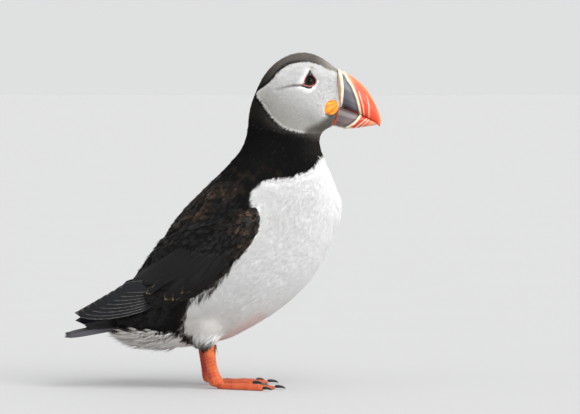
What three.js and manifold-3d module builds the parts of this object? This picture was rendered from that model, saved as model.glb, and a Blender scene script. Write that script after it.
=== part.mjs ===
// Atlantic puffin, Fratercula arctica: an adult in summer plumage, standing on both feet, as a still
// life-size model. Millimetres, +Z up, +X the way the bird faces, +Y its left side. The origin is on the
// floor, under the middle of the model's length and width.
import * as THREE from "three";
import { mergeVertices } from "three/addons/utils/BufferGeometryUtils.js";
import Module from "manifold-3d";

const wasm = await Module();
wasm.setup();

// ---------------------------------------------------------------- driving dimensions
const GAP = 0.3; // clear space that neighbouring pieces keep
const LEG_SPREAD = 23; // mid line to each leg
const RIGHT_LEG_AT = -1.7; // where the right leg stands along X
const LEFT_LEG_BACK = 5; // the left foot stands this much behind the right one
const EYE = { x: 58.5, z: 204.7, radius: 4.6, out: 15.2 }; // out: mid line to the eyeball's centre
const SIDES = { right: -1, left: 1 }; // the sign of Y

const COLOURS = {
  black: [0x1b1a1a, 0.75],
  white: [0xeceae6, 0.8],
  slate: [0x4c5055, 0.5],
  cream: [0xe8dcb8, 0.55],
  red: [0xd8401f, 0.4],
  rosette: [0xf09a1c, 0.5],
  orange: [0xe0592a, 0.5],
  claw: [0x1c1a19, 0.35],
  eye: [0x0c0a09, 0.1],
};

// ---------------------------------------------------------------- solids
const across = new THREE.Vector3(0, 1, 0);
const at = (x, y, z) => new THREE.Vector3(x, y, z);
const mid = (x, z) => at(x, 0, z);

// One slice of a body: the point at its top, the point at its bottom, its half width, how far down from
// the top it is widest, and its half width towards the mid line, where that is another.
const slice = (top, bottom, half, widest = 0.5, inner = half) => ({ top, bottom, half, widest, inner });

// A closed manifold-3d solid from a three.js geometry, turned the right way out.
function solidOf(geometry) {
  const bare = geometry.clone();
  bare.deleteAttribute("normal");
  bare.deleteAttribute("uv");
  const merged = mergeVertices(bare, 1e-4);
  const corners = Uint32Array.from(merged.index.array);
  const build = () =>
    new wasm.Manifold(
      new wasm.Mesh({
        numProp: 3,
        vertProperties: Float32Array.from(merged.attributes.position.array),
        triVerts: corners,
      }),
    );
  const made = build();
  if (made.volume() > 0) return made;
  for (let i = 0; i < corners.length; i += 3) {
    [corners[i + 1], corners[i + 2]] = [corners[i + 2], corners[i + 1]];
  }
  return build();
}

// A round-ended body drawn smoothly through its slices. grow makes the whole surface stand out by that
// much, for cutting a neighbour back. square is the slices' roundness: 2 is an ellipse, more is boxier.
function loft(slices, { sides = 20, rings = 24, grow = 0, square = 2 } = {}) {
  const through = (pick) => new THREE.CatmullRomCurve3(slices.map(pick));
  const tops = through((s) => s.top);
  const bottoms = through((s) => s.bottom);
  const widths = through((s) => new THREE.Vector3(s.half, s.widest * 10, s.inner));
  const centreAt = (t) => tops.getPoint(t).lerp(bottoms.getPoint(t), 0.5);
  const JUST_INSIDE = 0.02; // of the body's length, for the direction that each end points in
  const skin = new THREE.SphereGeometry(1, sides, rings);
  const place = skin.attributes.position;
  const round = (v) => Math.sign(v) * Math.abs(v) ** (2 / square);
  for (let ring = 0; ring <= rings; ring += 1) {
    const t = ring / rings;
    const top = tops.getPoint(t);
    const bottom = bottoms.getPoint(t);
    const width = widths.getPoint(t);
    const centre = top.clone().lerp(bottom, width.y / 10);
    const isPole = ring === 0 || ring === rings;
    const beyond = centreAt(t).sub(centreAt(Math.abs(t - JUST_INSIDE))).setLength(grow);
    for (let side = 0; side <= sides; side += 1) {
      const angle = (2 * Math.PI * side) / sides;
      const rise = round(Math.cos(angle));
      const reach = (rise > 0 ? top : bottom).clone().sub(centre);
      reach.setLength((reach.length() + grow) * Math.abs(rise));
      const point = centre.clone();
      const turn = round(Math.sin(angle));
      const half = (turn > 0 ? width.x : width.z) + grow;
      if (isPole) point.add(beyond);
      else point.add(reach).addScaledVector(across, half * turn);
      place.setXYZ(ring * (sides + 1) + side, point.x, point.y, point.z);
    }
  }
  return solidOf(skin);
}

// A left-side solid, or its mirror image where side is -1.
const onSide = (solid, side) => (side > 0 ? solid : solid.mirror([0, 1, 0]));

// Parts a solid at a plane, which leaves the gap between the two halves.
function split(solid, point, normal) {
  const unit = normal.clone().normalize();
  const offset = unit.dot(point);
  return {
    ahead: solid.trimByPlane(unit.toArray(), offset + GAP / 2),
    behind: solid.trimByPlane(unit.clone().negate().toArray(), GAP / 2 - offset),
  };
}

const joined = (solids) => solids.reduce((whole, next) => whole.add(next));
const cutBy = (solid, cutters) => cutters.reduce((left, cutter) => left.subtract(cutter), solid);

const bird = new THREE.Group();

function piece(name, solid, [colour, roughness]) {
  const { numProp, vertProperties, triVerts } = solid.getMesh();
  const corners = new Float32Array((vertProperties.length / numProp) * 3);
  for (let i = 0; i < corners.length / 3; i += 1) {
    corners.set(vertProperties.subarray(i * numProp, i * numProp + 3), i * 3);
  }
  const geometry = new THREE.BufferGeometry();
  geometry.setAttribute("position", new THREE.BufferAttribute(corners, 3));
  geometry.setIndex(new THREE.BufferAttribute(triVerts, 1));
  geometry.computeVertexNormals();
  const finish = new THREE.MeshStandardMaterial({ color: colour, roughness, metalness: 0 });
  const mesh = new THREE.Mesh(geometry, finish);
  mesh.name = name;
  bird.add(mesh);
}

// ---------------------------------------------------------------- trunk, neck and head
// One body from the tail root to the root of the bill. The trunk leans at about 45 degrees, with its
// slices square to the spine. From the throat up, the slices fan round the throat until they stand
// upright at the root of the bill. The head is widest low down, at the cheeks.
const BODY = [
  slice(mid(-82, 45), mid(-79, 40), 0.5),
  slice(mid(-76, 51.5), mid(-70, 34), 11),
  slice(mid(-67, 58), mid(-58, 27), 19),
  slice(mid(-57, 68), mid(-39, 25.2), 27),
  slice(mid(-49.5, 82), mid(-18, 26.8), 35),
  slice(mid(-41.5, 97), mid(4.6, 31.8), 40),
  slice(mid(-33.6, 110.8), mid(27.2, 43.9), 43),
  slice(mid(-22.8, 123.5), mid(46.4, 57.4), 44),
  slice(mid(-13.2, 133), mid(62.8, 75.2), 43.5),
  slice(mid(-4.6, 141.5), mid(73.8, 97.2), 42),
  slice(mid(2.7, 148.7), mid(79.2, 119.9), 38),
  slice(mid(10.2, 156.8), mid(75.8, 136.7), 32),
  slice(mid(13.8, 163), mid(68.9, 151.5), 27),
  slice(mid(16, 170.5), mid(65.4, 161.5), 24.2),
  slice(mid(16.8, 179), mid(64.9, 167.6), 22.8),
  slice(mid(18.6, 189), mid(65.2, 169.5), 22),
  slice(mid(22.2, 198.4), mid(65.6, 169.9), 21.8, 0.52),
  slice(mid(27.6, 209.4), mid(66, 170.2), 22, 0.56),
  slice(mid(36.2, 218.4), mid(66.5, 170.5), 22.2, 0.6),
  slice(mid(46.5, 223.6), mid(67.2, 171), 22, 0.64),
  slice(mid(57, 224.4), mid(68.2, 171.8), 20.6, 0.66),
  slice(mid(65.5, 221.4), mid(69.8, 173.2), 17.6, 0.66),
  slice(mid(72, 217), mid(72.4, 174.4), 13.6, 0.65),
  slice(mid(77.5, 212.6), mid(76.5, 175.2), 9.8, 0.64),
  slice(mid(86, 196), mid(86, 190), 0.5, 0.6),
];

const BODY_DETAIL = { sides: 20, rings: 37, square: 2.1 };

// Where the plumage of the face ends at the bill's horny root, from the brow down to the chin.
const BILL_ROOT = { brow: mid(77.2, 212), gape: mid(77.6, 188), chin: mid(74, 174) };
const JAW_LINE = { nape: mid(16.9, 177), throat: mid(66, 165.5) };
const COLLAR_LINE = { mantle: mid(4, 148.7), breast: mid(76, 140.5) };

// The normal of the plane through two mid-line points and the Y direction, on the side that up points to.
function squareTo(from, to, up) {
  const normal = to.clone().sub(from).cross(across);
  return normal.dot(up) > 0 ? normal : normal.negate();
}

// ---------------------------------------------------------------- bill
// The upper half follows the arched culmen above and the gape line below; the lower half follows the gape
// line above and the gonys below. Both are narrow from side to side.
const UPPER_BILL = [
  slice(mid(70, 214), mid(70, 190), 8, 0.6),
  slice(mid(77.3, 213.0), mid(77.6, 188.7), 8.4, 0.62),
  slice(mid(83.6, 209.7), mid(81.6, 187.3), 7.8, 0.64),
  slice(mid(90, 205.4), mid(86.6, 185.2), 7.0, 0.64),
  slice(mid(95.6, 200), mid(91.4, 183.2), 6.1, 0.62),
  slice(mid(100.2, 193), mid(95.6, 181.2), 5.1, 0.6),
  slice(mid(103.6, 185.8), mid(99.2, 179.4), 4.0, 0.56),
  slice(mid(105.6, 179.4), mid(102.5, 177.2), 2.8, 0.5),
  slice(mid(105.4, 174.6), mid(105.0, 174.4), 0.3, 0.5),
];
const LOWER_BILL = [
  slice(mid(68, 190), mid(66, 178), 5, 0.4),
  slice(mid(77.6, 188.2), mid(74.2, 175.3), 6.9, 0.4),
  slice(mid(82, 186.6), mid(79.6, 173.6), 6.7, 0.4),
  slice(mid(87, 184.5), mid(85.4, 173.3), 6.0, 0.4),
  slice(mid(92, 182.4), mid(91, 173.9), 5.0, 0.4),
  slice(mid(96.5, 180.3), mid(96, 174.7), 3.9, 0.4),
  slice(mid(100.6, 178.2), mid(100.4, 175.3), 2.6, 0.4),
  slice(mid(104, 176.3), mid(104, 176.1), 0.3, 0.4),
];
const CERE_WIDTH = 3.1; // the pale fleshy band at the root of the upper bill, front to back
const CERE_PROUD = 0.9; // how far it stands out round the bill

// The planes where the plumage ends: the upper one along the cere, the lower one across the jaw.
const ROOT_NORMAL = squareTo(BILL_ROOT.gape, BILL_ROOT.brow, mid(1, 0)).normalize();
const CHIN_NORMAL = squareTo(BILL_ROOT.chin, BILL_ROOT.gape, mid(1, 0)).normalize();
const behindBill = (solid) =>
  split(split(solid, BILL_ROOT.brow, ROOT_NORMAL).behind, BILL_ROOT.gape, CHIN_NORMAL).behind;

function billPieces() {
  const upperDetail = { sides: 14, rings: 15, square: 2.3 };
  const lowerDetail = { sides: 12, rings: 12, square: 2.3 };
  const upper = loft(UPPER_BILL, upperDetail);
  const lower = loft(LOWER_BILL, lowerDetail);
  const cereEnd = BILL_ROOT.brow.clone().addScaledVector(ROOT_NORMAL, CERE_WIDTH);
  const horn = split(upper, cereEnd, ROOT_NORMAL).ahead;
  const proud = loft(UPPER_BILL, { ...upperDetail, grow: CERE_PROUD });
  const band = split(split(proud, BILL_ROOT.brow, ROOT_NORMAL).ahead, cereEnd, ROOT_NORMAL).behind;
  const jawHorn = split(lower, BILL_ROOT.gape, CHIN_NORMAL).ahead;
  const gapeCut = loft(LOWER_BILL, { ...lowerDetail, grow: GAP });
  piece("bill_cere", cutBy(band, [gapeCut]), COLOURS.cream);
  piece("bill_upper", cutBy(horn, [gapeCut]), COLOURS.red);
  piece("bill_lower", jawHorn, COLOURS.red);
}

// ---------------------------------------------------------------- eye, its horny plates, gape rosette
// A flat oval plate on the side of the head, with its half sizes. tilt turns it in side view, and turn
// makes it face forwards.
function plate({ x, z, out, long, high, thick, tilt = 0, turn = 0 }, side, grow = 0) {
  const body = new THREE.SphereGeometry(1, 8, 5).rotateX(Math.PI / 2);
  body.scale(long + grow, thick + grow, high + grow);
  body.rotateY(-tilt).rotateZ(-turn).translate(x, out, z);
  return onSide(solidOf(body), side);
}

function eyeball(side, grow = 0) {
  const ball = new THREE.SphereGeometry(EYE.radius + grow, 10, 6);
  ball.rotateX(Math.PI / 2); // the poles look sideways
  ball.translate(EYE.x, EYE.out * side, EYE.z);
  return solidOf(ball);
}

const ROSETTE = { x: 72.6, z: 187.4, out: 12.6, long: 6.4, high: 4.8, thick: 2.2, tilt: 0.4, turn: 0.7 };
const BROW_PLATE = { x: 58.6, z: 209.6, out: 16.2, long: 1.5, high: 3.0, thick: 1.7 };
const LOWER_PLATE = { x: 56.2, z: 201.2, out: 18.9, long: 3.8, high: 0.95, thick: 1.6, tilt: -0.22 };
const SIDE_PLATES = {
  gape_rosette: [ROSETTE, COLOURS.rosette],
  eye_plate_upper: [BROW_PLATE, COLOURS.slate],
  eye_plate_lower: [LOWER_PLATE, COLOURS.slate],
};

function facePieces(head) {
  let face = head;
  for (const [word, side] of Object.entries(SIDES)) {
    piece(`eye_${word}`, eyeball(side), COLOURS.eye);
    face = face.subtract(eyeball(side, GAP));
    for (const [name, [sizes, colour]] of Object.entries(SIDE_PLATES)) {
      piece(`${name}_${word}`, behindBill(plate(sizes, side).subtract(eyeball(side, GAP))), colour);
      face = face.subtract(plate(sizes, side, GAP));
    }
  }
  return face;
}

// ---------------------------------------------------------------- wings
// The folded arm, from the wrist at the breast's side to the tips of the tertials over the rump: a thick
// lens let into the trunk's side. Its points are those of the left wing.
const WING = [
  slice(at(23.4, 42.4, 115), at(23.4, 42.4, 113.6), 0.5),
  slice(at(19.5, 41.2, 120.6), at(21.6, 43.2, 106.6), 3.6, 0.5, 2),
  slice(at(8, 38.4, 119.6), at(14.4, 43.8, 95.4), 5.2, 0.5, 3),
  slice(at(-8, 34.0, 115), at(0, 43.0, 80.2), 6.8, 0.5, 3.4),
  slice(at(-23, 26.5, 110.5), at(-14.6, 41.2, 68.6), 8.6, 0.55, 3.4),
  slice(at(-40.5, 13.5, 101.4), at(-29.6, 37.6, 61.4), 10.0, 0.55, 3),
  slice(at(-51.6, 8.5, 86), at(-43, 32.6, 57.8), 8.4, 0.55, 2.4),
  slice(at(-59.0, 7.2, 75.5), at(-52, 27.0, 56.4), 5.6, 0.55, 1.8),
  slice(at(-62.6, 11.0, 69.5), at(-61.0, 15.5, 64.5), 0.5),
];
const wing = (side, grow = 0) => onSide(loft(WING, { sides: 13, rings: 14, grow }), side);

// The outline of one flight feather, lying along +X from its base, with a round tip.
function vaneOutline(length, half) {
  const shape = new THREE.Shape();
  shape.moveTo(0, -half * 0.55);
  shape.lineTo(length - half * 1.7, -half);
  shape.absellipse(length - half * 1.7, 0, half * 1.7, half, -Math.PI / 2, Math.PI / 2, false);
  shape.lineTo(0, half * 0.55);
  return shape;
}

// A feather from its base to its tip, facing out along the given normal.
function vane(base, tip, normal, half, thick) {
  const along = tip.clone().sub(base);
  const outline = vaneOutline(along.length(), half);
  const blade = new THREE.ExtrudeGeometry(outline, {
    depth: thick,
    bevelEnabled: false,
    curveSegments: 3,
  });
  blade.translate(0, 0, -thick / 2);
  const forward = along.normalize();
  const wide = normal.clone().cross(forward).normalize();
  const out = forward.clone().cross(wide);
  blade.applyMatrix4(new THREE.Matrix4().makeBasis(forward, wide, out).setPosition(base));
  return solidOf(blade);
}

// The folded hand: the flight feathers reach back past the arm over the rump, each one a step shorter
// than the one below it and lying outside it. drop lowers the tips, so one wing shows under the other.
const PRIMARIES = {
  count: 6,
  half: 4.4,
  thick: 1.0,
  step: 0.6,
  base: { first: at(-44, 29.5, 60.2), last: at(-47, 24.5, 69) },
  tip: { first: at(-99, 4.6, 50.4), last: at(-66, 13.0, 67.8) },
  normal: at(-0.35, 1, 0.45),
  drop: { right: 0, left: 5.6 },
};

function primaries(word, side) {
  const { count, half, thick, step, base, tip, normal, drop } = PRIMARIES;
  const out = at(normal.x, normal.y * side, normal.z).normalize();
  const vanes = Array.from({ length: count }, (_, i) => {
    const share = i / (count - 1);
    const lift = out.clone().multiplyScalar(step * i);
    const root = base.first.clone().lerp(base.last, share);
    const end = tip.first.clone().lerp(tip.last, share ** 0.92);
    root.y *= side;
    end.y *= side;
    end.z -= drop[word] * (1 - share);
    return vane(root.add(lift), end.add(lift), out, half, thick);
  });
  return joined(vanes);
}

// ---------------------------------------------------------------- tail
// A short, rounded fan of sixteen feathers, the middle pair longest and highest, as one plate with a
// round tip for each feather.
const TAIL = {
  feathers: 16,
  root: at(-66, 0, 43.2),
  length: 39.3,
  shorter: 0.16, // how much less the outermost reach, as a share
  spread: 0.5, // radians from the mid line to the outermost
  halfRoot: 9,
  tip: 1.1, // how far each feather's tip stands past its neighbour's edge
  slope: 0.215, // radians below level
  droop: 0.1, // how fast the fan falls away to each side
  thick: 1.6,
};

function tailFan() {
  const { feathers, length, shorter, spread, halfRoot, tip, slope, droop, thick } = TAIL;
  const reach = (yaw, past) => length * (1 - shorter * (yaw / spread) ** 2) + past;
  const edge = (yaw, past) => {
    const far = reach(yaw, past);
    return [-far * Math.cos(yaw), halfRoot * (yaw / spread) * 0.6 + far * Math.sin(yaw) * 0.72];
  };
  const outline = new THREE.Shape();
  outline.moveTo(0, -halfRoot);
  for (let i = 0; i < feathers; i += 1) {
    for (const [share, past] of [[0.02, 0], [0.3, tip], [0.7, tip]]) {
      const yaw = spread * (((i + share) / feathers) * 2 - 1);
      outline.lineTo(...edge(yaw, past));
    }
  }
  outline.lineTo(...edge(spread, 0));
  outline.lineTo(0, halfRoot);
  const fan = new THREE.ExtrudeGeometry(outline, { depth: thick, bevelEnabled: false });
  const place = fan.attributes.position;
  for (let i = 0; i < place.count; i += 1) {
    place.setZ(i, place.getZ(i) - droop * Math.abs(place.getY(i)));
  }
  fan.rotateY(-slope);
  fan.translate(TAIL.root.x, TAIL.root.y, TAIL.root.z);
  return solidOf(fan);
}

// ---------------------------------------------------------------- legs
// Both legs are drawn at the mid line with the foot's joint over x = 0, then set in place. A slice's top
// is its front here, and its bottom the back.
const THIGH = [
  slice(at(0, 0, 62), at(-8, 0, 62), 0.5),
  slice(at(6, 0, 53), at(-18, 0, 52), 11),
  slice(at(4.6, 0, 42), at(-20.5, 0, 40), 11.5),
  slice(at(-0.2, 0, 32), at(-18.2, 0, 30.5), 8.6),
  slice(at(-2.8, 0, 25.8), at(-13.6, 0, 25), 5.0),
  slice(at(-7, 0, 22), at(-9, 0, 22), 0.5),
];
const SHANK = [
  slice(at(-6.4, 0, 33), at(-8.4, 0, 33), 0.4),
  slice(at(-2.9, 0, 28), at(-10.9, 0, 27.6), 3.2),
  slice(at(-2.7, 0, 20), at(-9.5, 0, 19.4), 2.9),
  slice(at(-1.2, 0, 12.6), at(-8.3, 0, 11.6), 2.7),
  slice(at(1.4, 0, 7.2), at(-7.6, 0, 5.6), 3.1),
  slice(at(2.6, 0, 4.2), at(-6.6, 0, 2.6), 3.4),
  slice(at(0, 0, 1.4), at(-3.6, 0, 1), 0.4),
];
const SHANK_DETAIL = { sides: 10, rings: 12, square: 2.4 };
const ANKLE_CUT = 4.6; // height at which the shank meets the foot
const TOES = {
  inner: { yaw: -0.42, length: 31, knuckles: 2 },
  middle: { yaw: 0, length: 40.5, knuckles: 3 },
  outer: { yaw: 0.44, length: 38.5, knuckles: 3 },
};
const TOE = { heel: at(-1.2, 0, 2.6), halfWidth: 2.1, height: 4.6, tipHeight: 3.2, sides: 6 };
const WEB = { thick: 0.8, reach: 0.86, sag: 0.74 };
const CLAW = { length: 8.2, root: 2.4, halfWidth: 1.25, rise: 3.3 };
const TURN_OUT = 0.16; // each foot points this much outwards, in radians

const heading = (yaw) => at(Math.cos(yaw), Math.sin(yaw), 0);

// One toe from the heel to where its claw begins, with a swelling at each joint.
function toe({ yaw, length, knuckles }) {
  const forward = heading(yaw);
  const sideways = at(-forward.y, forward.x, 0);
  const steps = 3 * knuckles;
  const slices = Array.from({ length: steps + 1 }, (_, i) => {
    const share = i / steps;
    const swell = 1 + 0.13 * Math.cos(2 * Math.PI * knuckles * share);
    const taper = THREE.MathUtils.lerp(1, TOE.tipHeight / TOE.height, share);
    const end = i === 0 || i === steps ? 0.12 : 1;
    const spot = forward.clone().multiplyScalar(length * share);
    const high = TOE.height * swell * taper * end;
    const wide = TOE.halfWidth * swell * taper * end;
    const middle = (TOE.height * taper) / 2 - 0.45;
    return { spot, high, wide, middle };
  });
  const body = new THREE.SphereGeometry(1, TOE.sides, steps);
  const place = body.attributes.position;
  slices.forEach(({ spot, high, wide, middle }, ring) => {
    const isPole = ring === 0 || ring === steps;
    for (let side = 0; side <= TOE.sides; side += 1) {
      const angle = (2 * Math.PI * side) / TOE.sides;
      const point = TOE.heel.clone().add(spot).setZ(middle);
      if (!isPole) {
        point.z += (high / 2) * Math.cos(angle);
        point.addScaledVector(sideways, wide * Math.sin(angle));
      }
      place.setXYZ(ring * (TOE.sides + 1) + side, point.x, point.y, point.z);
    }
  });
  return solidOf(body);
}

// The skin between two toes, with a hollow front edge.
function web(one, other) {
  const reachOne = heading(one.yaw).multiplyScalar(one.length * WEB.reach);
  const reachOther = heading(other.yaw).multiplyScalar(other.length * WEB.reach);
  const hollow = reachOne.clone().add(reachOther).multiplyScalar(WEB.sag / 2);
  const shape = new THREE.Shape();
  shape.moveTo(-1, 0);
  shape.lineTo(reachOne.x, reachOne.y);
  shape.quadraticCurveTo(hollow.x, hollow.y, reachOther.x, reachOther.y);
  const sheet = new THREE.ExtrudeGeometry(shape, {
    depth: WEB.thick,
    bevelEnabled: false,
    curveSegments: 4,
  });
  sheet.translate(TOE.heel.x, TOE.heel.y, 0);
  return solidOf(sheet);
}

// A curved black claw at a toe's end, its tip down on the floor.
function claw({ yaw, length }, grow = 0) {
  const forward = heading(yaw);
  const spot = (reach, z) => TOE.heel.clone().addScaledVector(forward, reach).setZ(z);
  const root = length - CLAW.root;
  const slices = [
    slice(spot(root - 0.5, 2.2), spot(root - 0.5, 1.6), 0.2),
    slice(spot(root + 0.6, CLAW.rise), spot(root + 0.6, 0.9), CLAW.halfWidth),
    slice(spot(root + 3.6, CLAW.rise), spot(root + 3.2, 0.9), CLAW.halfWidth),
    slice(spot(root + 6.4, 2.4), spot(root + 5.8, 0.75), CLAW.halfWidth * 0.75),
    slice(spot(root + CLAW.length, 0.5), spot(root + CLAW.length - 0.3, 0.3), 0.2),
  ];
  return loft(slices, { sides: 6, rings: 6, grow });
}

// Moves a leg's solid from the mid line to where that leg stands.
function setLeg(solid, word, side) {
  const back = word === "left" ? LEFT_LEG_BACK : 0;
  return solid.translate([RIGHT_LEG_AT - back, LEG_SPREAD * side, 0]);
}

function legPieces(word, side) {
  const shank = loft(SHANK, SHANK_DETAIL);
  const { ahead: leg, behind: heel } = split(shank, at(0, 0, ANKLE_CUT), at(0, 0, 1));
  const toes = Object.values(TOES);
  const claws = toes.map((one) => claw(one, GAP));
  const webs = [web(TOES.inner, TOES.middle), web(TOES.middle, TOES.outer)];
  const outwards = THREE.MathUtils.radToDeg(TURN_OUT);
  const turned = (solid) => setLeg(onSide(solid.rotate([0, 0, outwards]), side), word, side);
  const whole = cutBy(joined([heel, ...toes.map(toe), ...webs]), claws);
  const aboveFoot = 20; // height of the block that clears what is above the cut
  const ankle = new THREE.BoxGeometry(100, 100, aboveFoot);
  ankle.translate(0, 0, ANKLE_CUT - GAP / 2 + aboveFoot / 2);
  const sole = whole.subtract(solidOf(ankle)).trimByPlane([0, 0, 1], 0);
  // The cuts round the claws leave crumbs, so only the foot itself is kept.
  const largest = sole.decompose().reduce((a, b) => (a.volume() > b.volume() ? a : b));
  piece(`foot_${word}`, turned(largest), COLOURS.orange);
  for (const [name, one] of Object.entries(TOES)) {
    piece(`claw_${name}_${word}`, turned(claw(one).trimByPlane([0, 0, 1], 0)), COLOURS.claw);
  }
  piece(`shank_${word}`, setLeg(leg, word, side), COLOURS.orange);
}

const thigh = (word, side, grow = 0) =>
  setLeg(loft(THIGH, { sides: 11, rings: 9, grow }), word, side);
const shankPeg = (word, side) =>
  setLeg(loft(SHANK, { ...SHANK_DETAIL, grow: GAP }), word, side);

// ---------------------------------------------------------------- the bird
const whole = loft(BODY, BODY_DETAIL);
const grownBody = loft(BODY, { ...BODY_DETAIL, grow: GAP });
const jaw = squareTo(JAW_LINE.nape, JAW_LINE.throat, mid(0, 1));
const collar = squareTo(COLLAR_LINE.mantle, COLLAR_LINE.breast, mid(0, 1));
const { ahead: headSolid, behind: belowHead } = split(whole, JAW_LINE.nape, jaw);
const { ahead: neck, behind: trunk } = split(belowHead, COLLAR_LINE.mantle, collar);

billPieces();
piece("head", facePieces(behindBill(headSolid)), COLOURS.white);
piece("neck", neck, COLOURS.black);

const trunkCutters = [];
for (const [word, side] of Object.entries(SIDES)) {
  const arm = wing(side);
  const grownArm = wing(side, GAP);
  const grownThigh = thigh(word, side, GAP);
  trunkCutters.push(grownArm, grownThigh);
  piece(`wing_${word}`, arm, COLOURS.black);
  piece(`primaries_${word}`, cutBy(primaries(word, side), [grownArm, grownBody]), COLOURS.black);
  piece(`thigh_${word}`, cutBy(thigh(word, side), [shankPeg(word, side)]), COLOURS.white);
  legPieces(word, side);
}
piece("trunk", cutBy(trunk, trunkCutters), COLOURS.white);
piece("tail", cutBy(tailFan(), [grownBody]), COLOURS.black);

export default bird;
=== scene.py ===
import math

import bmesh
import bpy
import numpy as np
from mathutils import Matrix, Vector
from mathutils.bvhtree import BVHTree


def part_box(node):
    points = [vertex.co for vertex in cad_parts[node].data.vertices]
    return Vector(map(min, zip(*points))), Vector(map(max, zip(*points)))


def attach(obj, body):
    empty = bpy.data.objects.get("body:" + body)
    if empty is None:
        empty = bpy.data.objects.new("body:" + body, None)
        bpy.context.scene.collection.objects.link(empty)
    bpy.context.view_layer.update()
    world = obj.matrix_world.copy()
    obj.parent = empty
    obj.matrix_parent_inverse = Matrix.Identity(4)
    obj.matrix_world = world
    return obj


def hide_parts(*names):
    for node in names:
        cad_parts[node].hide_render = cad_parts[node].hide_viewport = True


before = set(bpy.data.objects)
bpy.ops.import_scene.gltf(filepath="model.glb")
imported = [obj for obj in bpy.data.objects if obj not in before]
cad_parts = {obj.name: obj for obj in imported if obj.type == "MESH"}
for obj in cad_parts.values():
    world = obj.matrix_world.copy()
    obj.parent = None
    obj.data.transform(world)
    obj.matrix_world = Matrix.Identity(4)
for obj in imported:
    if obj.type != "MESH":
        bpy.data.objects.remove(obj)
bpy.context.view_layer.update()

# --- The skin -----------------------------------------------------------------------------------
# One hide drawn over the head, neck, trunk, folded wings, thighs, shanks and webbed feet, as a
# taxidermist pulls it over the form. The feathered part lies inside the form by the coat's depth,
# and the bare legs keep the form's own surface.
MM = 0.001
FEATHERED = ["head", "neck", "trunk", "wing_right", "wing_left", "thigh_right", "thigh_left"]
WINGS = ["wing_right", "wing_left"]
THIGHS = ["thigh_right", "thigh_left"]
BARE_LEGS = ["shank_right", "shank_left", "foot_right", "foot_left"]
SIDES = (("right", -1), ("left", 1))
TOES = ("inner", "middle", "outer")
BODY_MESH = 1.2 * MM
LEG_MESH = 0.45 * MM
HEAD_COAT = 0.6 * MM
NECK_COAT = 1.0 * MM
BODY_COAT = 1.4 * MM
WING_COAT = 1.1 * MM
SHANK_TOP = 20 * MM
UNDER_CERE = 74.5 * MM
THIN_CUTS = 0.3 * MM
SETTLING = 60
WING_STAYS = 0.4
HEAD_STAYS = 0.28
FOLD_DEPTH = 1.5 * MM
CREASE_DEPTH = 0.9 * MM


def copied_solids(names, grow):
    """One mesh of merged copies of the frame's solids, grown outwards so that thin cuts close."""
    shell = bmesh.new()
    for name in names:
        shell.from_mesh(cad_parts[name].data)
    bmesh.ops.remove_doubles(shell, verts=shell.verts, dist=0.001 * MM)
    shell.normal_update()
    for corner in shell.verts:
        corner.co += corner.normal * grow
    mesh = bpy.data.meshes.new("copied")
    shell.to_mesh(mesh)
    shell.free()
    return mesh


def settled(holder):
    """The evaluated mesh of an object, plain and alone. The object itself is taken away."""
    view = bpy.context.evaluated_depsgraph_get()
    mesh = bpy.data.meshes.new_from_object(holder.evaluated_get(view))
    bpy.data.objects.remove(holder)
    return mesh


def held(mesh, name="holder"):
    """A new object that shows this mesh, at the origin."""
    holder = bpy.data.objects.new(name, mesh)
    bpy.context.scene.collection.objects.link(holder)
    return holder


def evened(mesh, voxel):
    """The same shape in small even squares."""
    holder = held(mesh)
    even = holder.modifiers.new("even", "REMESH")
    even.mode = "VOXEL"
    even.voxel_size = voxel
    return settled(holder)


def points_of(mesh):
    points = np.empty(len(mesh.vertices) * 3)
    mesh.vertices.foreach_get("co", points)
    return points.reshape(-1, 3)


def normals_of(mesh):
    normals = np.empty(len(mesh.vertices) * 3)
    mesh.vertices.foreach_get("normal", normals)
    return normals.reshape(-1, 3)


def moved(mesh, points):
    mesh.vertices.foreach_set("co", np.asarray(points, dtype=np.float32).ravel())
    mesh.update()


def relaxed(mesh, values, rounds, share=0.5, back=None):
    """Values at the mesh's points, each drawn to the mean of its neighbours, round after round.
    With back, every second round pushes out again, so that thin parts keep their size."""
    ends = np.empty(len(mesh.edges) * 2, dtype=np.int32)
    mesh.edges.foreach_get("vertices", ends)
    first, second = ends.reshape(-1, 2).T
    count = np.bincount(ends, minlength=len(values))
    values = values.astype(float).copy()
    for turn in range(rounds):
        pull = share if back is None or turn % 2 == 0 else back
        for axis in range(values.shape[1]):
            column = values[:, axis]
            total = np.bincount(first, column[second], len(values))
            total += np.bincount(second, column[first], len(values))
            step = total / np.maximum(count, 1) - column
            values[:, axis] = column + step * (pull if np.ndim(pull) == 0 else pull[:, axis])
    return values


def surface_tree(mesh):
    """A tree that finds the nearest place on a mesh."""
    return BVHTree.FromPolygons([v.co for v in mesh.vertices], [p.vertices for p in mesh.polygons])


def near(points, names, reach):
    """1 where a point is within reach of these solids, falling to 0 at twice the reach."""
    tree = surface_tree(copied_solids(names, 0))
    gap = np.full(len(points), 9.0)
    for index, point in enumerate(points):
        hit = tree.find_nearest(Vector(point), reach * 2)
        if hit[3] is not None:
            gap[index] = hit[3]
    return np.clip(2 - gap / reach, 0, 1)


def line_height(x, start, end):
    """The height of a straight side-view line at x."""
    return start[1] + (x - start[0]) * (end[1] - start[1]) / (end[0] - start[0])


def smooth(value, low, high):
    """0 below low, 1 above high, and an even curve between."""
    share = np.clip((value - low) / (high - low), 0, 1)
    return share * share * (3 - 2 * share)


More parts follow.
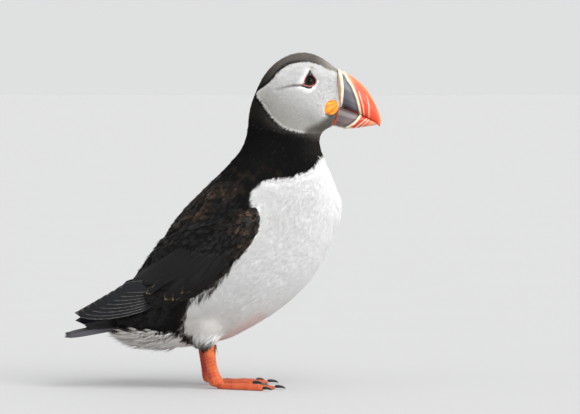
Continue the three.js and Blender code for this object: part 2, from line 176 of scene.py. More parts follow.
body_shell = evened(copied_solids(FEATHERED, THIN_CUTS), BODY_MESH)
on_wing = near(points_of(body_shell), WINGS, 0.9 * MM)
on_head = smooth(points_of(body_shell)[:, 2], 165 * MM, 178 * MM)
eased = 0.5 - WING_STAYS * on_wing - HEAD_STAYS * on_head * (1 - on_wing)
eased = np.repeat(eased[:, None], 3, 1)
body_points = relaxed(body_shell, points_of(body_shell), SETTLING, eased)
moved(body_shell, body_points)
coat_top = surface_tree(body_shell)

JAW_LINE = ((16.9 * MM, 177 * MM), (66 * MM, 165.5 * MM))
COLLAR_LINE = ((4 * MM, 148.7 * MM), (76 * MM, 140.5 * MM))
x, y, z = body_points.T
above_jaw = smooth(z - line_height(x, *JAW_LINE), -6 * MM, 6 * MM)
above_collar = smooth(z - line_height(x, *COLLAR_LINE), -8 * MM, 8 * MM)
coat_depth = BODY_COAT + (NECK_COAT - BODY_COAT) * above_collar
coat_depth = coat_depth + (HEAD_COAT - coat_depth) * above_jaw
coat_depth = coat_depth + (WING_COAT - coat_depth) * on_wing
coat_depth = relaxed(body_shell, coat_depth[:, None], 10)

# The crease behind the eye: the feathers part along it.
CREASE = [(52.6, 202.2), (48, 202.0), (44.2, 201.5), (40.7, 200.5), (36.1, 199.4)]


def path_distance(x, z, path):
    """How far side-view places are from a path in millimetres, and how far along it they lie."""
    best = np.full(len(x), 9.0)
    along = np.zeros(len(x))
    lengths = [math.dist(a, b) for a, b in zip(path, path[1:])]
    done = 0
    for (ax, az), (bx, bz), length in zip(path, path[1:], lengths):
        dx, dz = (bx - ax) / length, (bz - az) / length
        share = np.clip((x / MM - ax) * dx + (z / MM - az) * dz, 0, length)
        gap = np.hypot(x / MM - ax - share * dx, z / MM - az - share * dz) * MM
        along = np.where(gap < best, (done + share) / sum(lengths), along)
        best = np.minimum(best, gap)
        done += length
    return best, along


# The fold where the shoulder feathers lie over the closed wing.
SHOULDER_FOLD = [(21, 122.6), (10, 119.6), (-1, 113.9), (-6.6, 111.4), (-13, 110.5), (-23, 104.8),
                 (-33, 102.6)]
fold_gap, fold_along = path_distance(x, z, SHOULDER_FOLD)
fold = (1 - smooth(fold_gap, 0.3 * MM, 3.2 * MM)) * (1 - 0.6 * fold_along) * (np.abs(y) > 12 * MM)
coat_depth[:, 0] += FOLD_DEPTH * fold
crease_gap, crease_along = path_distance(x, z, CREASE)
crease = (1 - smooth(crease_gap, 0.3 * MM, 1.9 * MM)) * (1 - 0.7 * crease_along)
coat_depth[:, 0] += CREASE_DEPTH * crease * above_jaw
body_points = body_points - normals_of(body_shell) * coat_depth
body_points[:, 0] += np.maximum(body_points[:, 0] - UNDER_CERE, 0) * 0.6
moved(body_shell, body_points)

# Toe scutes and the rings of the shank are pressed into the bare skin.
SCUTE_PITCH = 2.0 * MM
SCUTE_DEPTH = 0.22 * MM


def heel_of(side):
    """Where the shank meets the foot."""
    low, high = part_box("shank_" + side)
    return Vector((low.x * 0.42 + high.x * 0.58, (low.y + high.y) / 2, 0))


leg_shell = evened(copied_solids(BARE_LEGS, 0.16 * MM), LEG_MESH)
leg_points = relaxed(leg_shell, points_of(leg_shell), 12, 0.5, -0.51)
moved(leg_shell, leg_points)
scute_run = np.zeros(len(leg_points))
toe_share = np.zeros(len(leg_points))
x, y, z = leg_points.T
for side, sign in SIDES:
    own = y * sign > 0
    heel = heel_of(side)
    for toe in TOES:
        low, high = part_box(f"claw_{toe}_{side}")
        tip = Vector((low.x, (low.y + high.y) / 2, 0))
        ray = (tip - heel).normalized()
        run = (x - heel.x) * ray.x + (y - heel.y) * ray.y
        off = np.abs((x - heel.x) * -ray.y + (y - heel.y) * ray.x)
        share = (1 - smooth(off, 1.9 * MM, 3.2 * MM)) * smooth(run, 3 * MM, 8 * MM) * own
        share = share * (z < 6 * MM) * (z > 1.0 * MM)
        scute_run = np.where(share > toe_share, run, scute_run)
        toe_share = np.maximum(toe_share, share)
on_shank = smooth(z, 4 * MM, 7 * MM)
scute_run = np.where(on_shank > 0.5, z * 0.8 - x * 0.25, scute_run)
scuted = np.maximum(toe_share, on_shank)
groove = np.abs(np.cos(scute_run * math.pi / SCUTE_PITCH)) ** 6
leg_points = leg_points - normals_of(leg_shell) * (SCUTE_DEPTH * groove * scuted)[:, None]
leg_points[:, 2] = np.maximum(leg_points[:, 2], 0.02 * MM)
leg_points[:, 2] += np.maximum(leg_points[:, 2] - SHANK_TOP, 0) * 0.7
moved(leg_shell, leg_points)

skin = held(body_shell, "skin")
legs_tool = held(leg_shell)
union = skin.modifiers.new("legs", "BOOLEAN")
union.object = legs_tool
union.operation = "UNION"
union.solver = "MANIFOLD"
skin_mesh = settled(skin)
bpy.data.objects.remove(legs_tool)
skin = held(skin_mesh, "skin")

# --- Markings ------------------------------------------------------------------------------------
# The colours that skin and coat share. Borders are drawn on the bird's side: the pale cheek with
# its crisp edge, the black collar, the white underparts and the ragged edge of the flank. Some
# light and shade is painted in as well: painted shade on the cheek's lower back, low on the belly
# and on the skin under the coat, and a painted sheen on the front of the neck.
CHEEK = [(23.0, 196.6), (25.2, 198.9), (31.7, 204.3), (38.2, 211.7), (44.7, 216.0), (54.9, 217.5),
         (62.9, 216.2), (69.4, 213.2), (74.5, 211.5), (80, 207), (82, 196), (80, 180), (74, 174.4),
         (68.7, 173.2), (65.8, 170.4), (62.1, 169.6), (55.6, 170.0), (48.3, 170.9), (41.1, 173.5),
         (33.9, 178.6), (28.8, 185.8), (23.4, 193.6)]
UNDERPARTS = [(110, 153.4), (66.4, 153.4), (65.1, 152.1), (58.5, 145.3), (48.3, 141.4),
              (44.7, 140.2), (33.9, 139.2), (26.6, 137.4), (20.8, 133.0), (18.9, 127.9),
              (19.5, 121.3), (18.2, 115.2), (11.5, 98.5), (1.4, 83.8), (-7.3, 73.0),
              (-12.0, 68.3), (-18.7, 63.7), (-22.7, 54.9), (-24.7, 46.2), (-26.0, 39.6),
              (-32.1, 37.6), (-48.8, 38.3), (-65.6, 38.8), (-82.3, 35.4), (-110, 28.1),
              (-110, -20), (110, -20)]


def ink(red, green, blue):
    """A colour as a painter names it, from 0 to 255, as the shaders read it."""
    return np.array([((c / 255 + 0.055) / 1.055) ** 2.4 if c > 10 else c / 3294.6
                     for c in (red, green, blue)])


CROWN = ink(108, 102, 97)
FOREHEAD = ink(168, 161, 153)
NAPE = ink(34, 31, 29)
COLLAR = ink(11, 10, 10)
THROAT_SHEEN = ink(34, 30, 27)
# Painted sheen: a lighter brown-grey for the front of the black neck.
MANTLE = ink(15, 14, 14)
FRINGE = ink(84, 66, 52)
CHEEK_FRONT = ink(246, 246, 245)
# Painted shade: the grey of the cheek's lower back, which turns away from the light.
CHEEK_SHADED = ink(186, 183, 177)
CHEEK_RIM = ink(236, 235, 232)
CHIN = ink(98, 91, 85)
EYE_SURROUND = ink(14, 13, 14)
CREASE_SHADE = ink(92, 84, 80)
WHITE = ink(246, 246, 245)
# Painted shade and reflected warm light: a warmer, greyer white for low on the belly.
VENT_SHADE = ink(243, 238, 233)
BELLY_PINK = ink(240, 206, 200)
TAN = ink(150, 122, 92)
FLANK = ink(22, 19, 18)
FLANK_BROWN = ink(66, 56, 48)
LEG = ink(218, 82, 30)
LEG_PALE = ink(230, 122, 58)
LEG_RED = ink(186, 44, 20)
SOLE = ink(96, 62, 46)


def outline_depth(x, z, outline):
    """How deep side-view places lie inside a closed outline, in metres, negative outside it."""
    corners = np.array(outline) * MM
    best = np.full(len(x), 9.0)
    inside = np.zeros(len(x), dtype=bool)
    for (ax, az), (bx, bz) in zip(corners, np.roll(corners, -1, axis=0)):
        dx, dz = bx - ax, bz - az
        share = np.clip(((x - ax) * dx + (z - az) * dz) / (dx * dx + dz * dz), 0, 1)
        best = np.minimum(best, np.hypot(x - ax - share * dx, z - az - share * dz))
        crosses = (az > z) != (bz > z)
        level = dz if dz else 1.0
        inside ^= crosses & (x < ax + (z - az) * dx / level)
    return np.where(inside, best, -best)


def rounded(outline):
    """The same closed outline with its corners drawn as one smooth curve."""
    steps = 4
    corners = np.array(outline, dtype=float)
    before, after = np.roll(corners, 1, axis=0), np.roll(corners, -1, axis=0)
    beyond = np.roll(corners, -2, axis=0)
    curve = []
    for step in range(steps):
        t = step / steps
        curve.append(0.5 * (2 * corners + (after - before) * t
                            + (2 * before - 5 * corners + 4 * after - beyond) * t * t
                            + (3 * corners - before - 3 * after + beyond) * t ** 3))
    return np.stack(curve, axis=1).reshape(-1, 2)


def mottle(points, size, seed):
    """Soft uneven patches of about this size, between -1 and 1."""
    draw = np.random.default_rng(seed)
    waves = draw.normal(size=(9, 3)) * (2 * math.pi / size / 1.7)
    turns = draw.uniform(0, 2 * math.pi, 9)
    return np.clip(np.sin(points @ waves.T + turns).sum(axis=1) / 3.6, -1, 1)


EYE_OUTLINE = [(58.2, 209.9), (60.1, 208.8), (61.7, 206.6), (62.2, 204.5), (60.9, 202.3),
               (58.9, 201.2), (56.4, 201.4), (53.9, 202.3), (54.7, 205.0), (55.7, 207.4),
               (57.0, 209.2)]
EYE_CURVE = rounded(EYE_OUTLINE)
CHEEK_CURVE = rounded(CHEEK)
UNDERPARTS_CURVE = rounded(UNDERPARTS)


def blended(colours, other, share):
    """Colours drawn towards another by a share for each point. Either may be one colour."""
    return colours + (other - colours) * np.clip(share, 0, 1)[:, None]


def plumage(points, on_wing):
    """The plumage colour at places on the bird."""
    x, y, z = points.T
    ragged = mottle(points, 4 * MM, 3) * 0.7 * MM
    brown = smooth(mottle(points, 7 * MM, 5), 0.1, 0.9) * smooth(z, 60 * MM, 90 * MM)
    colours = blended(MANTLE, FRINGE, 0.22 * brown)
    shoulder, _ = path_distance(x, z, [(-24, 113.5), (-14, 112.5), (-5, 131), (7, 133.5)])
    worn = (1 - smooth(shoulder, 1 * MM, 5 * MM)) * smooth(mottle(points, 3 * MM, 6), -0.3, 0.8)
    colours = blended(colours, FRINGE, 0.7 * worn)
    colours = blended(colours, COLLAR, smooth(z - line_height(x, *COLLAR_LINE), -9 * MM, 9 * MM))
    # Painted sheen: the front of the neck above the breast is drawn lighter than the black collar.
    front = smooth(x, 48 * MM, 66 * MM) * smooth(z, 148 * MM, 160 * MM)
    colours = blended(colours, THROAT_SHEEN, front)
    over_jaw = smooth(z - line_height(x, *JAW_LINE), -4 * MM, 8 * MM)
    cap = blended(NAPE, CROWN, smooth(x, 22 * MM, 44 * MM))
    cap = blended(cap, FOREHEAD, smooth(x, 60 * MM, 74 * MM))
    colours = blended(colours, cap, over_jaw)
    cheek = outline_depth(x, z, CHEEK_CURVE)
    border = over_jaw * smooth(cheek, -2.6 * MM, -0.6 * MM) * smooth(x, 66 * MM, 40 * MM)
    colours = blended(colours, COLLAR, border * 0.85)
    # Painted shade: the cheek is drawn darker towards its lower back, which turns away from the
    # light.
    cheek_lit_share = smooth(x / MM * 0.5 + z / MM * 0.87, 172, 204)
    face = blended(CHEEK_SHADED, CHEEK_FRONT, cheek_lit_share)
    face = blended(face, CHEEK_RIM, 1 - smooth(cheek, 0.3 * MM, 1.7 * MM))
    chin, _ = path_distance(x, z, [(76.5, 183), (71, 178), (66, 173.5), (58, 170)])
    face = blended(face, CHIN, 0.9 * (1 - smooth(chin, 1.5 * MM, 6.5 * MM)))
    brow, _ = path_distance(x, z, [(58.2, 211.5), (58.9, 214.2)])
    face = blended(face, TAN, 0.45 * (1 - smooth(brow, 0.4 * MM, 1.6 * MM)))
    gap, along = path_distance(x, z, CREASE)
    shade = (1 - smooth(gap, 0.2 * MM, 1.5 * MM)) * (1 - 0.75 * along)
    face = blended(face, CREASE_SHADE, shade)
    colours = blended(colours, face, smooth(cheek + ragged * 0.12, -0.25 * MM, 0.25 * MM))
    under = outline_depth(x, z, UNDERPARTS_CURVE) + ragged * 0.5
    # Painted shade and reflected warm light: the white is drawn warmer and greyer lower on the
    # belly.
    belly = blended(WHITE, VENT_SHADE, smooth(z, 70 * MM, 42 * MM) * 0.8)
    groin, _ = path_distance(x, z, [(7, 33), (15, 38), (28, 46)])
    belly = blended(belly, BELLY_PINK, 0.7 * (1 - smooth(groin, 2 * MM, 10 * MM)))
    tail_end = smooth(x, -35 * MM, -66 * MM)
    belly = blended(belly, TAN, tail_end * 0.35 * smooth(mottle(points, 4 * MM, 8), 0.1, 0.9))
    flank = blended(colours, FLANK, 0.7 * (z < 80 * MM) * (x < 15 * MM))
    colours = np.where((under > -8 * MM)[:, None], flank, colours)
    white = smooth(under, -0.4 * MM, 0.5 * MM) * (1 - on_wing)
    return blended(colours, belly, white)


def bare_skin(points):
    """The colour of the scaly legs and webbed feet: the front of the shank is painted paler as a
    highlight and the back redder and darker as painted shade; the lowest edge of the feet is
    darker.
    """
    x, y, z = points.T
    shank_middle = np.interp(z, [2 * MM, 26 * MM], [-3 * MM, -12.5 * MM])
    # Painted highlight: the front of the shank, which faces the light, is drawn paler.
    front = smooth(x - shank_middle, 0.0, 4.5 * MM) * smooth(z, 5 * MM, 8 * MM)
    # Painted shade: the back of the shank is drawn redder and darker.
    shaded_rear = smooth(shank_middle - x, 0.5 * MM, 4 * MM) * smooth(z, 3 * MM, 7 * MM)
    spots = mottle(points, 2.2 * MM, 12)
    colours = blended(LEG, LEG_PALE, 0.3 + 0.25 * spots + 0.5 * front)
    redder = 0.35 * smooth(mottle(points, 9 * MM, 13), -0.2, 0.9) + 0.75 * shaded_rear
    colours = blended(colours, LEG_RED, redder)
    heel = heel_of("left")
    from_heel = np.hypot(x - heel.x, np.abs(y) - heel.y)
    run = np.where(z > 5.5 * MM, z * 0.8 - x * 0.25, from_heel)
    seam = np.abs(np.cos(run * math.pi / SCUTE_PITCH)) ** 6
    colours = colours * (1 - 0.32 * seam * (0.6 + 0.4 * spots))[:, None]
    # The lowest 0.7 mm of the feet is drawn darker.
    return blended(colours, SOLE, smooth(z, 0.7 * MM, 0.1 * MM) * 0.8)


def painted(mesh, name, colours):
    """Keep colours on the mesh's points under this name, in place of any it had."""
    if name in mesh.attributes:
        mesh.attributes.remove(mesh.attributes[name])
    layer = mesh.color_attributes.new(name, "FLOAT_COLOR", "POINT")
    filled = np.ones((len(mesh.vertices), 4), dtype=np.float32)
    filled[:, :3] = colours
    layer.data.foreach_set("color", filled.ravel())


def marked(mesh, name, values):
    """Keep one number for each point of the mesh under this name."""
    layer = mesh.attributes.new(name, "FLOAT", "POINT")
    layer.data.foreach_set("value", np.asarray(values, dtype=np.float32))


def aimed(mesh, name, vectors):
    """Keep one vector for each point of the mesh under this name."""
    layer = mesh.attributes.get(name) or mesh.attributes.new(name, "FLOAT_VECTOR", "POINT")
    layer.data.foreach_set("vector", np.asarray(vectors, dtype=np.float32).ravel())


def placed(tree, kind, feeds=None, **settings):
    """A node of this kind, set, and fed with plain values or with other nodes' outputs."""
    node = tree.nodes.new(kind)
    for setting, value in settings.items():
        setattr(node, setting, value)
    for socket, feed in (feeds or {}).items():
        if isinstance(feed, bpy.types.NodeSocket):
            tree.links.new(feed, node.inputs[socket])
        else:
            node.inputs[socket].default_value = feed
    return node


def stored(tree, name, output="Fac"):
    """What the mesh keeps under this name."""
    return placed(tree, "ShaderNodeAttribute", attribute_name=name).outputs[output]


def grained(tree, scale, detail, roughness=0.5):
    """Fine uneven noise through the bird's own space."""
    place = placed(tree, "ShaderNodeTexCoord").outputs["Object"]
    return placed(tree, "ShaderNodeTexNoise", {"Vector": place, "Scale": scale, "Detail": detail,
                                               "Roughness": roughness}).outputs[0]


def pitted(tree, scale, **settings):
    """The cells of small pits or scales through the bird's own space."""
    place = placed(tree, "ShaderNodeTexCoord").outputs["Object"]
    return placed(tree, "ShaderNodeTexVoronoi", {"Vector": place, "Scale": scale},
                  **settings).outputs[0]


def worked(tree, operation, *values):
    """The outcome of one sum."""
    return placed(tree, "ShaderNodeMath", dict(enumerate(values)), operation=operation).outputs[0]


def ranged(tree, value, start, end, low=0.0, high=1.0):
    """A value between low and high, carried to between start and end."""
    return placed(tree, "ShaderNodeMapRange", {0: value, 1: low, 2: high, 3: start,
                                               4: end}).outputs[0]


def mixed(tree, share, first, second):
    return placed(tree, "ShaderNodeMix", {0: share, 2: first, 3: second}).outputs[0]


def dimmed(tree, colour, level):
    """A colour times a level."""
    return placed(tree, "ShaderNodeVectorMath", {0: colour, "Scale": level},
                  operation="SCALE").outputs[0]


def tinted(tree, level):
    """The bird's own markings times a level."""
    return dimmed(tree, stored(tree, "markings", "Color"), level)


def bumped(tree, strength, distance, height):
    return placed(tree, "ShaderNodeBump", {"Strength": strength, "Distance": distance,
                                           "Height": height}).outputs[0]


def wired(tree, shader, **feeds):
    """Join these outputs to the shader."""
    for socket, feed in feeds.items():
        tree.links.new(feed, shader.inputs[socket.replace("_", " ")])


def sheet_of_nodes(name, roughness, **levels):
    """A new material with its shader's even levels set, ready to be wired."""
    material = bpy.data.materials.new(name)
    material.use_nodes = True
    shader = material.node_tree.nodes["Principled BSDF"]
    shader.inputs["Roughness"].default_value = roughness
    for level, value in levels.items():
        shader.inputs[level.replace("_", " ")].default_value = value
    return material, material.node_tree, shader


skin_points = points_of(skin_mesh)
on_legs = near(skin_points, BARE_LEGS, 0.7 * MM) * (skin_points[:, 2] < 30 * MM)
on_wing = near(skin_points, WINGS, 1.6 * MM)
on_thigh = near(skin_points, THIGHS, 2.4 * MM)
# The skin is drawn 10% darker than the plumage over it: painted shade under the coat.
skin_colours = plumage(skin_points, on_wing) * 0.9
eye_here = outline_depth(skin_points[:, 0], skin_points[:, 2], EYE_CURVE)
skin_colours = blended(skin_colours, EYE_SURROUND, eye_here > -0.35 * MM)
marked(skin_mesh, "bare", on_legs > 0.5)


def skin_finish():
    """Feather bases over most of the skin; small horny scales on the bare legs and feet."""
    material, tree, shader = sheet_of_nodes("skin", 0.6, Sheen_Weight=0.1)
    bare = stored(tree, "bare")
    seams = ranged(tree, pitted(tree, 1150.0, feature="DISTANCE_TO_EDGE"), 0.0, 1.0, 0.0, 0.16)
    grain = grained(tree, 900.0, 4.0)
    dark = mixed(tree, bare, ranged(tree, grain, 0.8, 1.15), ranged(tree, seams, 0.62, 1.0))
    relief = mixed(tree, bare, grain, seams)
    wired(tree, shader, Base_Color=tinted(tree, dark),
          Roughness=mixed(tree, bare, 0.9, ranged(tree, grain, 0.34, 0.58)),
          Normal=bumped(tree, 0.55, 0.00022, relief))
    return material


def finished(piece, slot, *nodes, soft=True):
    """The piece rides on the one body and stands for these solids. A soft one shades evenly."""
    piece.data.polygons.foreach_set("use_smooth", [soft] * len(piece.data.polygons))
    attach(piece, "root")
    if nodes:
        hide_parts(*nodes)


def dressed(mesh, finish, colours):
    """One finish over the whole mesh, with these markings."""
    mesh.materials.clear()
    mesh.materials.append(finish)
    painted(mesh, "markings", colours)


dressed(skin_mesh, skin_finish(), blended(skin_colours, bare_skin(skin_points), on_legs > 0.5))
finished(skin, "leg_skin", *FEATHERED, *BARE_LEGS)

# --- The lie of the coat -------------------------------------------------------------------------
# Every feather points the way that air and water run off the bird: back from the bill, down the
# neck and breast, and along the belly to the tail.
LIE_GUIDES = [((72, 6, 215), (-1, 0.1, 0.55)), ((54, 6, 224), (-1, 0, 0.05)),
              ((33, 8, 215), (-1, 0, -0.55)), ((18, 8, 190), (-0.25, 0, -1)),
              ((12, 12, 165), (-0.35, 0, -1)), ((-5, 12, 140), (-0.65, 0, -0.75)),
              ((-38, 10, 104), (-0.6, 0, -0.8)), ((-62, 10, 68), (-0.85, 0, -0.55)),
              ((74, 12, 200), (-1, 0.2, -0.05)), ((55, 20, 213), (-1, 0.1, 0.1)),
              ((50, 21, 193), (-1, 0.1, -0.3)), ((33, 20, 192), (-0.9, 0, -0.5)),
              ((72, 9, 178), (-1, 0.2, -0.35)), ((58, 16, 173), (-1, 0.1, -0.6)),
              ((64, 8, 160), (-0.25, 0.15, -1)), ((40, 22, 158), (-0.3, 0, -1)),
              ((72, 8, 143), (-0.05, 0.15, -1)), ((79, 8, 112), (-0.2, 0.15, -1)),
              ((50, 38, 118), (-0.5, 0.1, -1)), ((66, 12, 80), (-0.7, 0.15, -0.8)),
              ((35, 38, 85), (-0.85, 0, -0.62)), ((35, 15, 50), (-1, 0.1, -0.4)),
              ((8, 42, 78), (-0.55, 0, -1)), ((-14, 40, 60), (-0.5, 0, -1)),
              ((-30, 34, 45), (-0.75, 0, -0.5)), ((-20, 12, 34), (-1, 0, 0)),
              ((-62, 10, 36), (-1, 0, -0.12)), ((-2, 30, 40), (-0.25, 0.05, -1)),
              ((-10, 18, 40), (-0.35, 0, -1))]
WING_LIE = [((22, 42, 112), (-0.75, 0, -0.9)), ((0, 42, 108), (-0.85, 0, -0.62)),
            ((8, 44, 98), (-0.62, 0, -0.85)), ((-22, 36, 95), (-0.74, 0, -0.72)),
            ((-18, 40, 75), (-0.78, 0, -0.62)), ((-45, 25, 75), (-0.82, 0, -0.55))]


def guided(points, guides):
    """The direction that these guides give at each place, the nearer ones counting most."""
    mirror = np.where(points[:, 1:2] < 0, -1.0, 1.0) * [[0, 1, 0]] + [[1, 0, 1]]
    total = np.zeros_like(points)
    for place, way in guides:
        gap = np.linalg.norm(points * mirror - np.array(place) * MM, axis=1) + 2 * MM
        total += np.array(way)[None, :] / np.linalg.norm(way) / gap[:, None] ** 3.5
    parting = np.clip(points[:, 1:2] / (10 * MM), -1, 1)
    return total * (parting * [[0, 1, 0]] + [[1, 0, 1]])


def unit(ways):
    return ways / np.linalg.norm(ways, axis=1, keepdims=True)


skin_normals = normals_of(skin_mesh)


def along_skin(way):
    """These directions, laid along the surface."""
    return unit(way - skin_normals * (way * skin_normals).sum(axis=1, keepdims=True))


LEVEL_ENOUGH = 0.93
body_way = unit(guided(skin_points, LIE_GUIDES))
wing_way = unit(guided(skin_points, WING_LIE))
skin_lie = along_skin(body_way + (wing_way - body_way) * on_wing[:, None])
level_here = np.linalg.norm(relaxed(skin_mesh, skin_normals, 14), axis=1) > LEVEL_ENOUGH
aimed(skin_mesh, "lie", skin_lie)

# --- Down and body feathers ----------------------------------------------------------------------
# Short dense tufts cover the face, and longer silky ones the breast, belly, thighs and vent. Each
# grows from its own root in the skin, lies back over the next, and ends in loose fine barbs.
CROWDING = 1.6
RISE_SPREAD = 0.35


def feathering_tree():
    """Geometry Nodes that set one feather or tuft at every spot of an even scatter."""
    tree = bpy.data.node_groups.new("feathering", "GeometryNodeTree")
    sockets = [("Skin", "Geometry"), ("Feather", "Object"), ("Finish", "Material"),
               ("Spacing", "Float"), ("Lift", "Float"), ("Stray", "Float"), ("Uneven", "Float"),
               ("Seed", "Int")]
    for name, kind in sockets:
        tree.interface.new_socket(name, in_out="INPUT", socket_type="NodeSocket" + kind)
    tree.interface.new_socket("Coat", in_out="OUTPUT", socket_type="NodeSocketGeometry")
    given = placed(tree, "NodeGroupInput").outputs
    kept = placed(tree, "GeometryNodeInputNamedAttribute", {0: "kept"}).outputs[0]
    lie, size = (placed(tree, "GeometryNodeInputNamedAttribute", {0: name},
                        data_type="FLOAT_VECTOR").outputs[0] for name in ("lie", "size"))
    thick = worked(tree, "POWER", worked(tree, "DIVIDE", CROWDING, given["Spacing"]), 2.0)
    roots = placed(tree, "GeometryNodeDistributePointsOnFaces",
                   {"Mesh": given["Skin"], "Distance Min": given["Spacing"], "Density Max": thick,
                    "Density Factor": kept, "Seed": given["Seed"]},
                   distribute_method="POISSON").outputs

    def drawn(low, high, seed):
        return placed(tree, "FunctionNodeRandomValue", {2: low, 3: high, 8: seed}).outputs[1]

    lying = placed(tree, "FunctionNodeAxesToRotation", {0: roots["Normal"], 1: lie},
                   primary_axis="Z", secondary_axis="X").outputs[0]
    swing = drawn(worked(tree, "MULTIPLY", given["Stray"], -1.0), given["Stray"], given["Seed"])
    rise = drawn(worked(tree, "MULTIPLY", given["Lift"], -1 - RISE_SPREAD),
                 worked(tree, "MULTIPLY", given["Lift"], -1 + RISE_SPREAD),
                 worked(tree, "ADD", given["Seed"], 7.0))
    turn = placed(tree, "ShaderNodeCombineXYZ", {1: rise, 2: swing}).outputs[0]
    euler = placed(tree, "FunctionNodeEulerToRotation", {0: turn}).outputs[0]
    aim = placed(tree, "FunctionNodeRotateRotation", {0: lying, 1: euler},
                 rotation_space="LOCAL").outputs[0]
    stretch = drawn(worked(tree, "SUBTRACT", 1.0, given["Uneven"]),
                    worked(tree, "ADD", 1.0, given["Uneven"]),
                    worked(tree, "ADD", given["Seed"], 19.0))
    where = placed(tree, "GeometryNodeInputPosition").outputs[0]
    spots = roots["Points"]
    for name, value in (("root", where), ("along_skin", lie), ("off_skin", roots["Normal"])):
        spots = placed(tree, "GeometryNodeStoreNamedAttribute",
                       {"Geometry": spots, "Name": name, "Value": value},
                       data_type="FLOAT_VECTOR", domain="POINT").outputs[0]
    feather = placed(tree, "GeometryNodeObjectInfo", {"Object": given["Feather"]})
    spread = placed(tree, "GeometryNodeInstanceOnPoints",
                    {"Points": spots, "Instance": feather.outputs["Geometry"], "Rotation": aim,
                     "Scale": dimmed(tree, size, stretch)}).outputs[0]
    solid = placed(tree, "GeometryNodeRealizeInstances", {0: spread}).outputs[0]
    coated = placed(tree, "GeometryNodeSetMaterial", {"Geometry": solid,
                                                      "Material": given["Finish"]}).outputs[0]
    placed(tree, "NodeGroupOutput", {0: coated})
    return tree


FEATHERING = feathering_tree()


def barbs(count, fan, width, thickness, seed):
    """A tuft of slender three-sided barbs that fan out from one root, one unit long."""
    draw = np.random.default_rng(seed)
    points, faces, vane = [], [], []
    for index in range(count):
        across = (index + 0.5) / count * 2 - 1
        reach = 1 - 0.28 * abs(across) - 0.18 * draw.random()
        side = across * fan
        start = len(points)
        begin = 0.1 * draw.random()
        tip = side * 1.15 + draw.uniform(-0.3, 0.3) * width
        high = thickness * (1 + 0.7 * draw.random())
        points += [(begin, side * 0.55 - width / 2, 0), (begin, side * 0.55 + width / 2, 0),
                   (begin + 0.06, side * 0.55, high), (reach, tip, high * 0.4)]
        faces += [(start + 1, start + 3, start + 2), (start, start + 2, start + 3),
                  (start, start + 3, start + 1)]
        shade = draw.random()
        vane += [(0, across, shade)] * 3 + [(1, across, shade)]
    return feather_object("tuft", points, faces, vane)


def sharp_rims(mesh, vane):
    """The two faces of a vane meet in a thin edge, which isn't shaded as one round surface."""
    for edge in mesh.edges:
        edge.use_edge_sharp = all(abs(vane[corner][1]) == 1 for corner in edge.vertices)


def feather_object(name, points, faces, vane):
    """A feather that the tree repeats. It isn't part of the bird and is taken away later."""
    mesh = bpy.data.meshes.new(name)
    mesh.from_pydata(points, [], faces)
    aimed(mesh, "vane", vane)
    sharp_rims(mesh, vane)
    return held(mesh, name)


def spun(points):
    """The skin's own unwrap: round the bird's long axis, and along it from bill to tail."""
    x, y, z = points.T
    run = (x * 0.72 + z * 0.69) / (300 * MM)
    middle_x = np.interp(run, [-0.1, 0.25, 0.5, 0.62, 0.75], [-60 * MM, 10 * MM, 35 * MM, 42 * MM,
                                                            50 * MM])
    across = (x - middle_x) * 0.69 - (z - middle_x * 0.2 - 60 * MM) * 0.1
    turn = np.arctan2(y, across) / (2 * math.pi) + 0.5
    return np.stack([turn, run], axis=1)


def mapped(mesh, spots):
    """Lay the mesh's points out at these places of the map."""
    layer = mesh.uv_layers.new(name="OFBake")
    corners = np.empty(len(mesh.loops), dtype=np.int32)
    mesh.loops.foreach_get("vertex_index", corners)
    layer.data.foreach_set("uv", spots[corners].astype(np.float32).ravel())


PATCH = 0.003


def wind_free(mesh, pattern, curl, seed):
    """Gives each tuft of a realized coat its own slight bend, and returns its root, lie, web places
    and chance, from which its colour and patch of the map are made.
    """
    count = len(mesh.vertices)
    per = len(pattern.data.vertices)

    def read(name):
        values = np.empty(count * 3, dtype=np.float32)
        mesh.attributes[name].data.foreach_get("vector", values)
        return values.reshape(-1, 3).astype(float)

    roots, way, vane = read("root")[::per], read("along_skin")[::per], read("vane")
    draw = np.random.default_rng(seed)
    chance = draw.random(count // per)
    bend = np.cross(way, draw.normal(size=(count // per, 3)))
    bend -= way * (bend * way).sum(axis=1, keepdims=True)
    moved(mesh, points_of(mesh) + np.repeat(bend, per, axis=0) * (vane[:, :1] ** 2) * curl)
    return roots, way, vane, chance, per


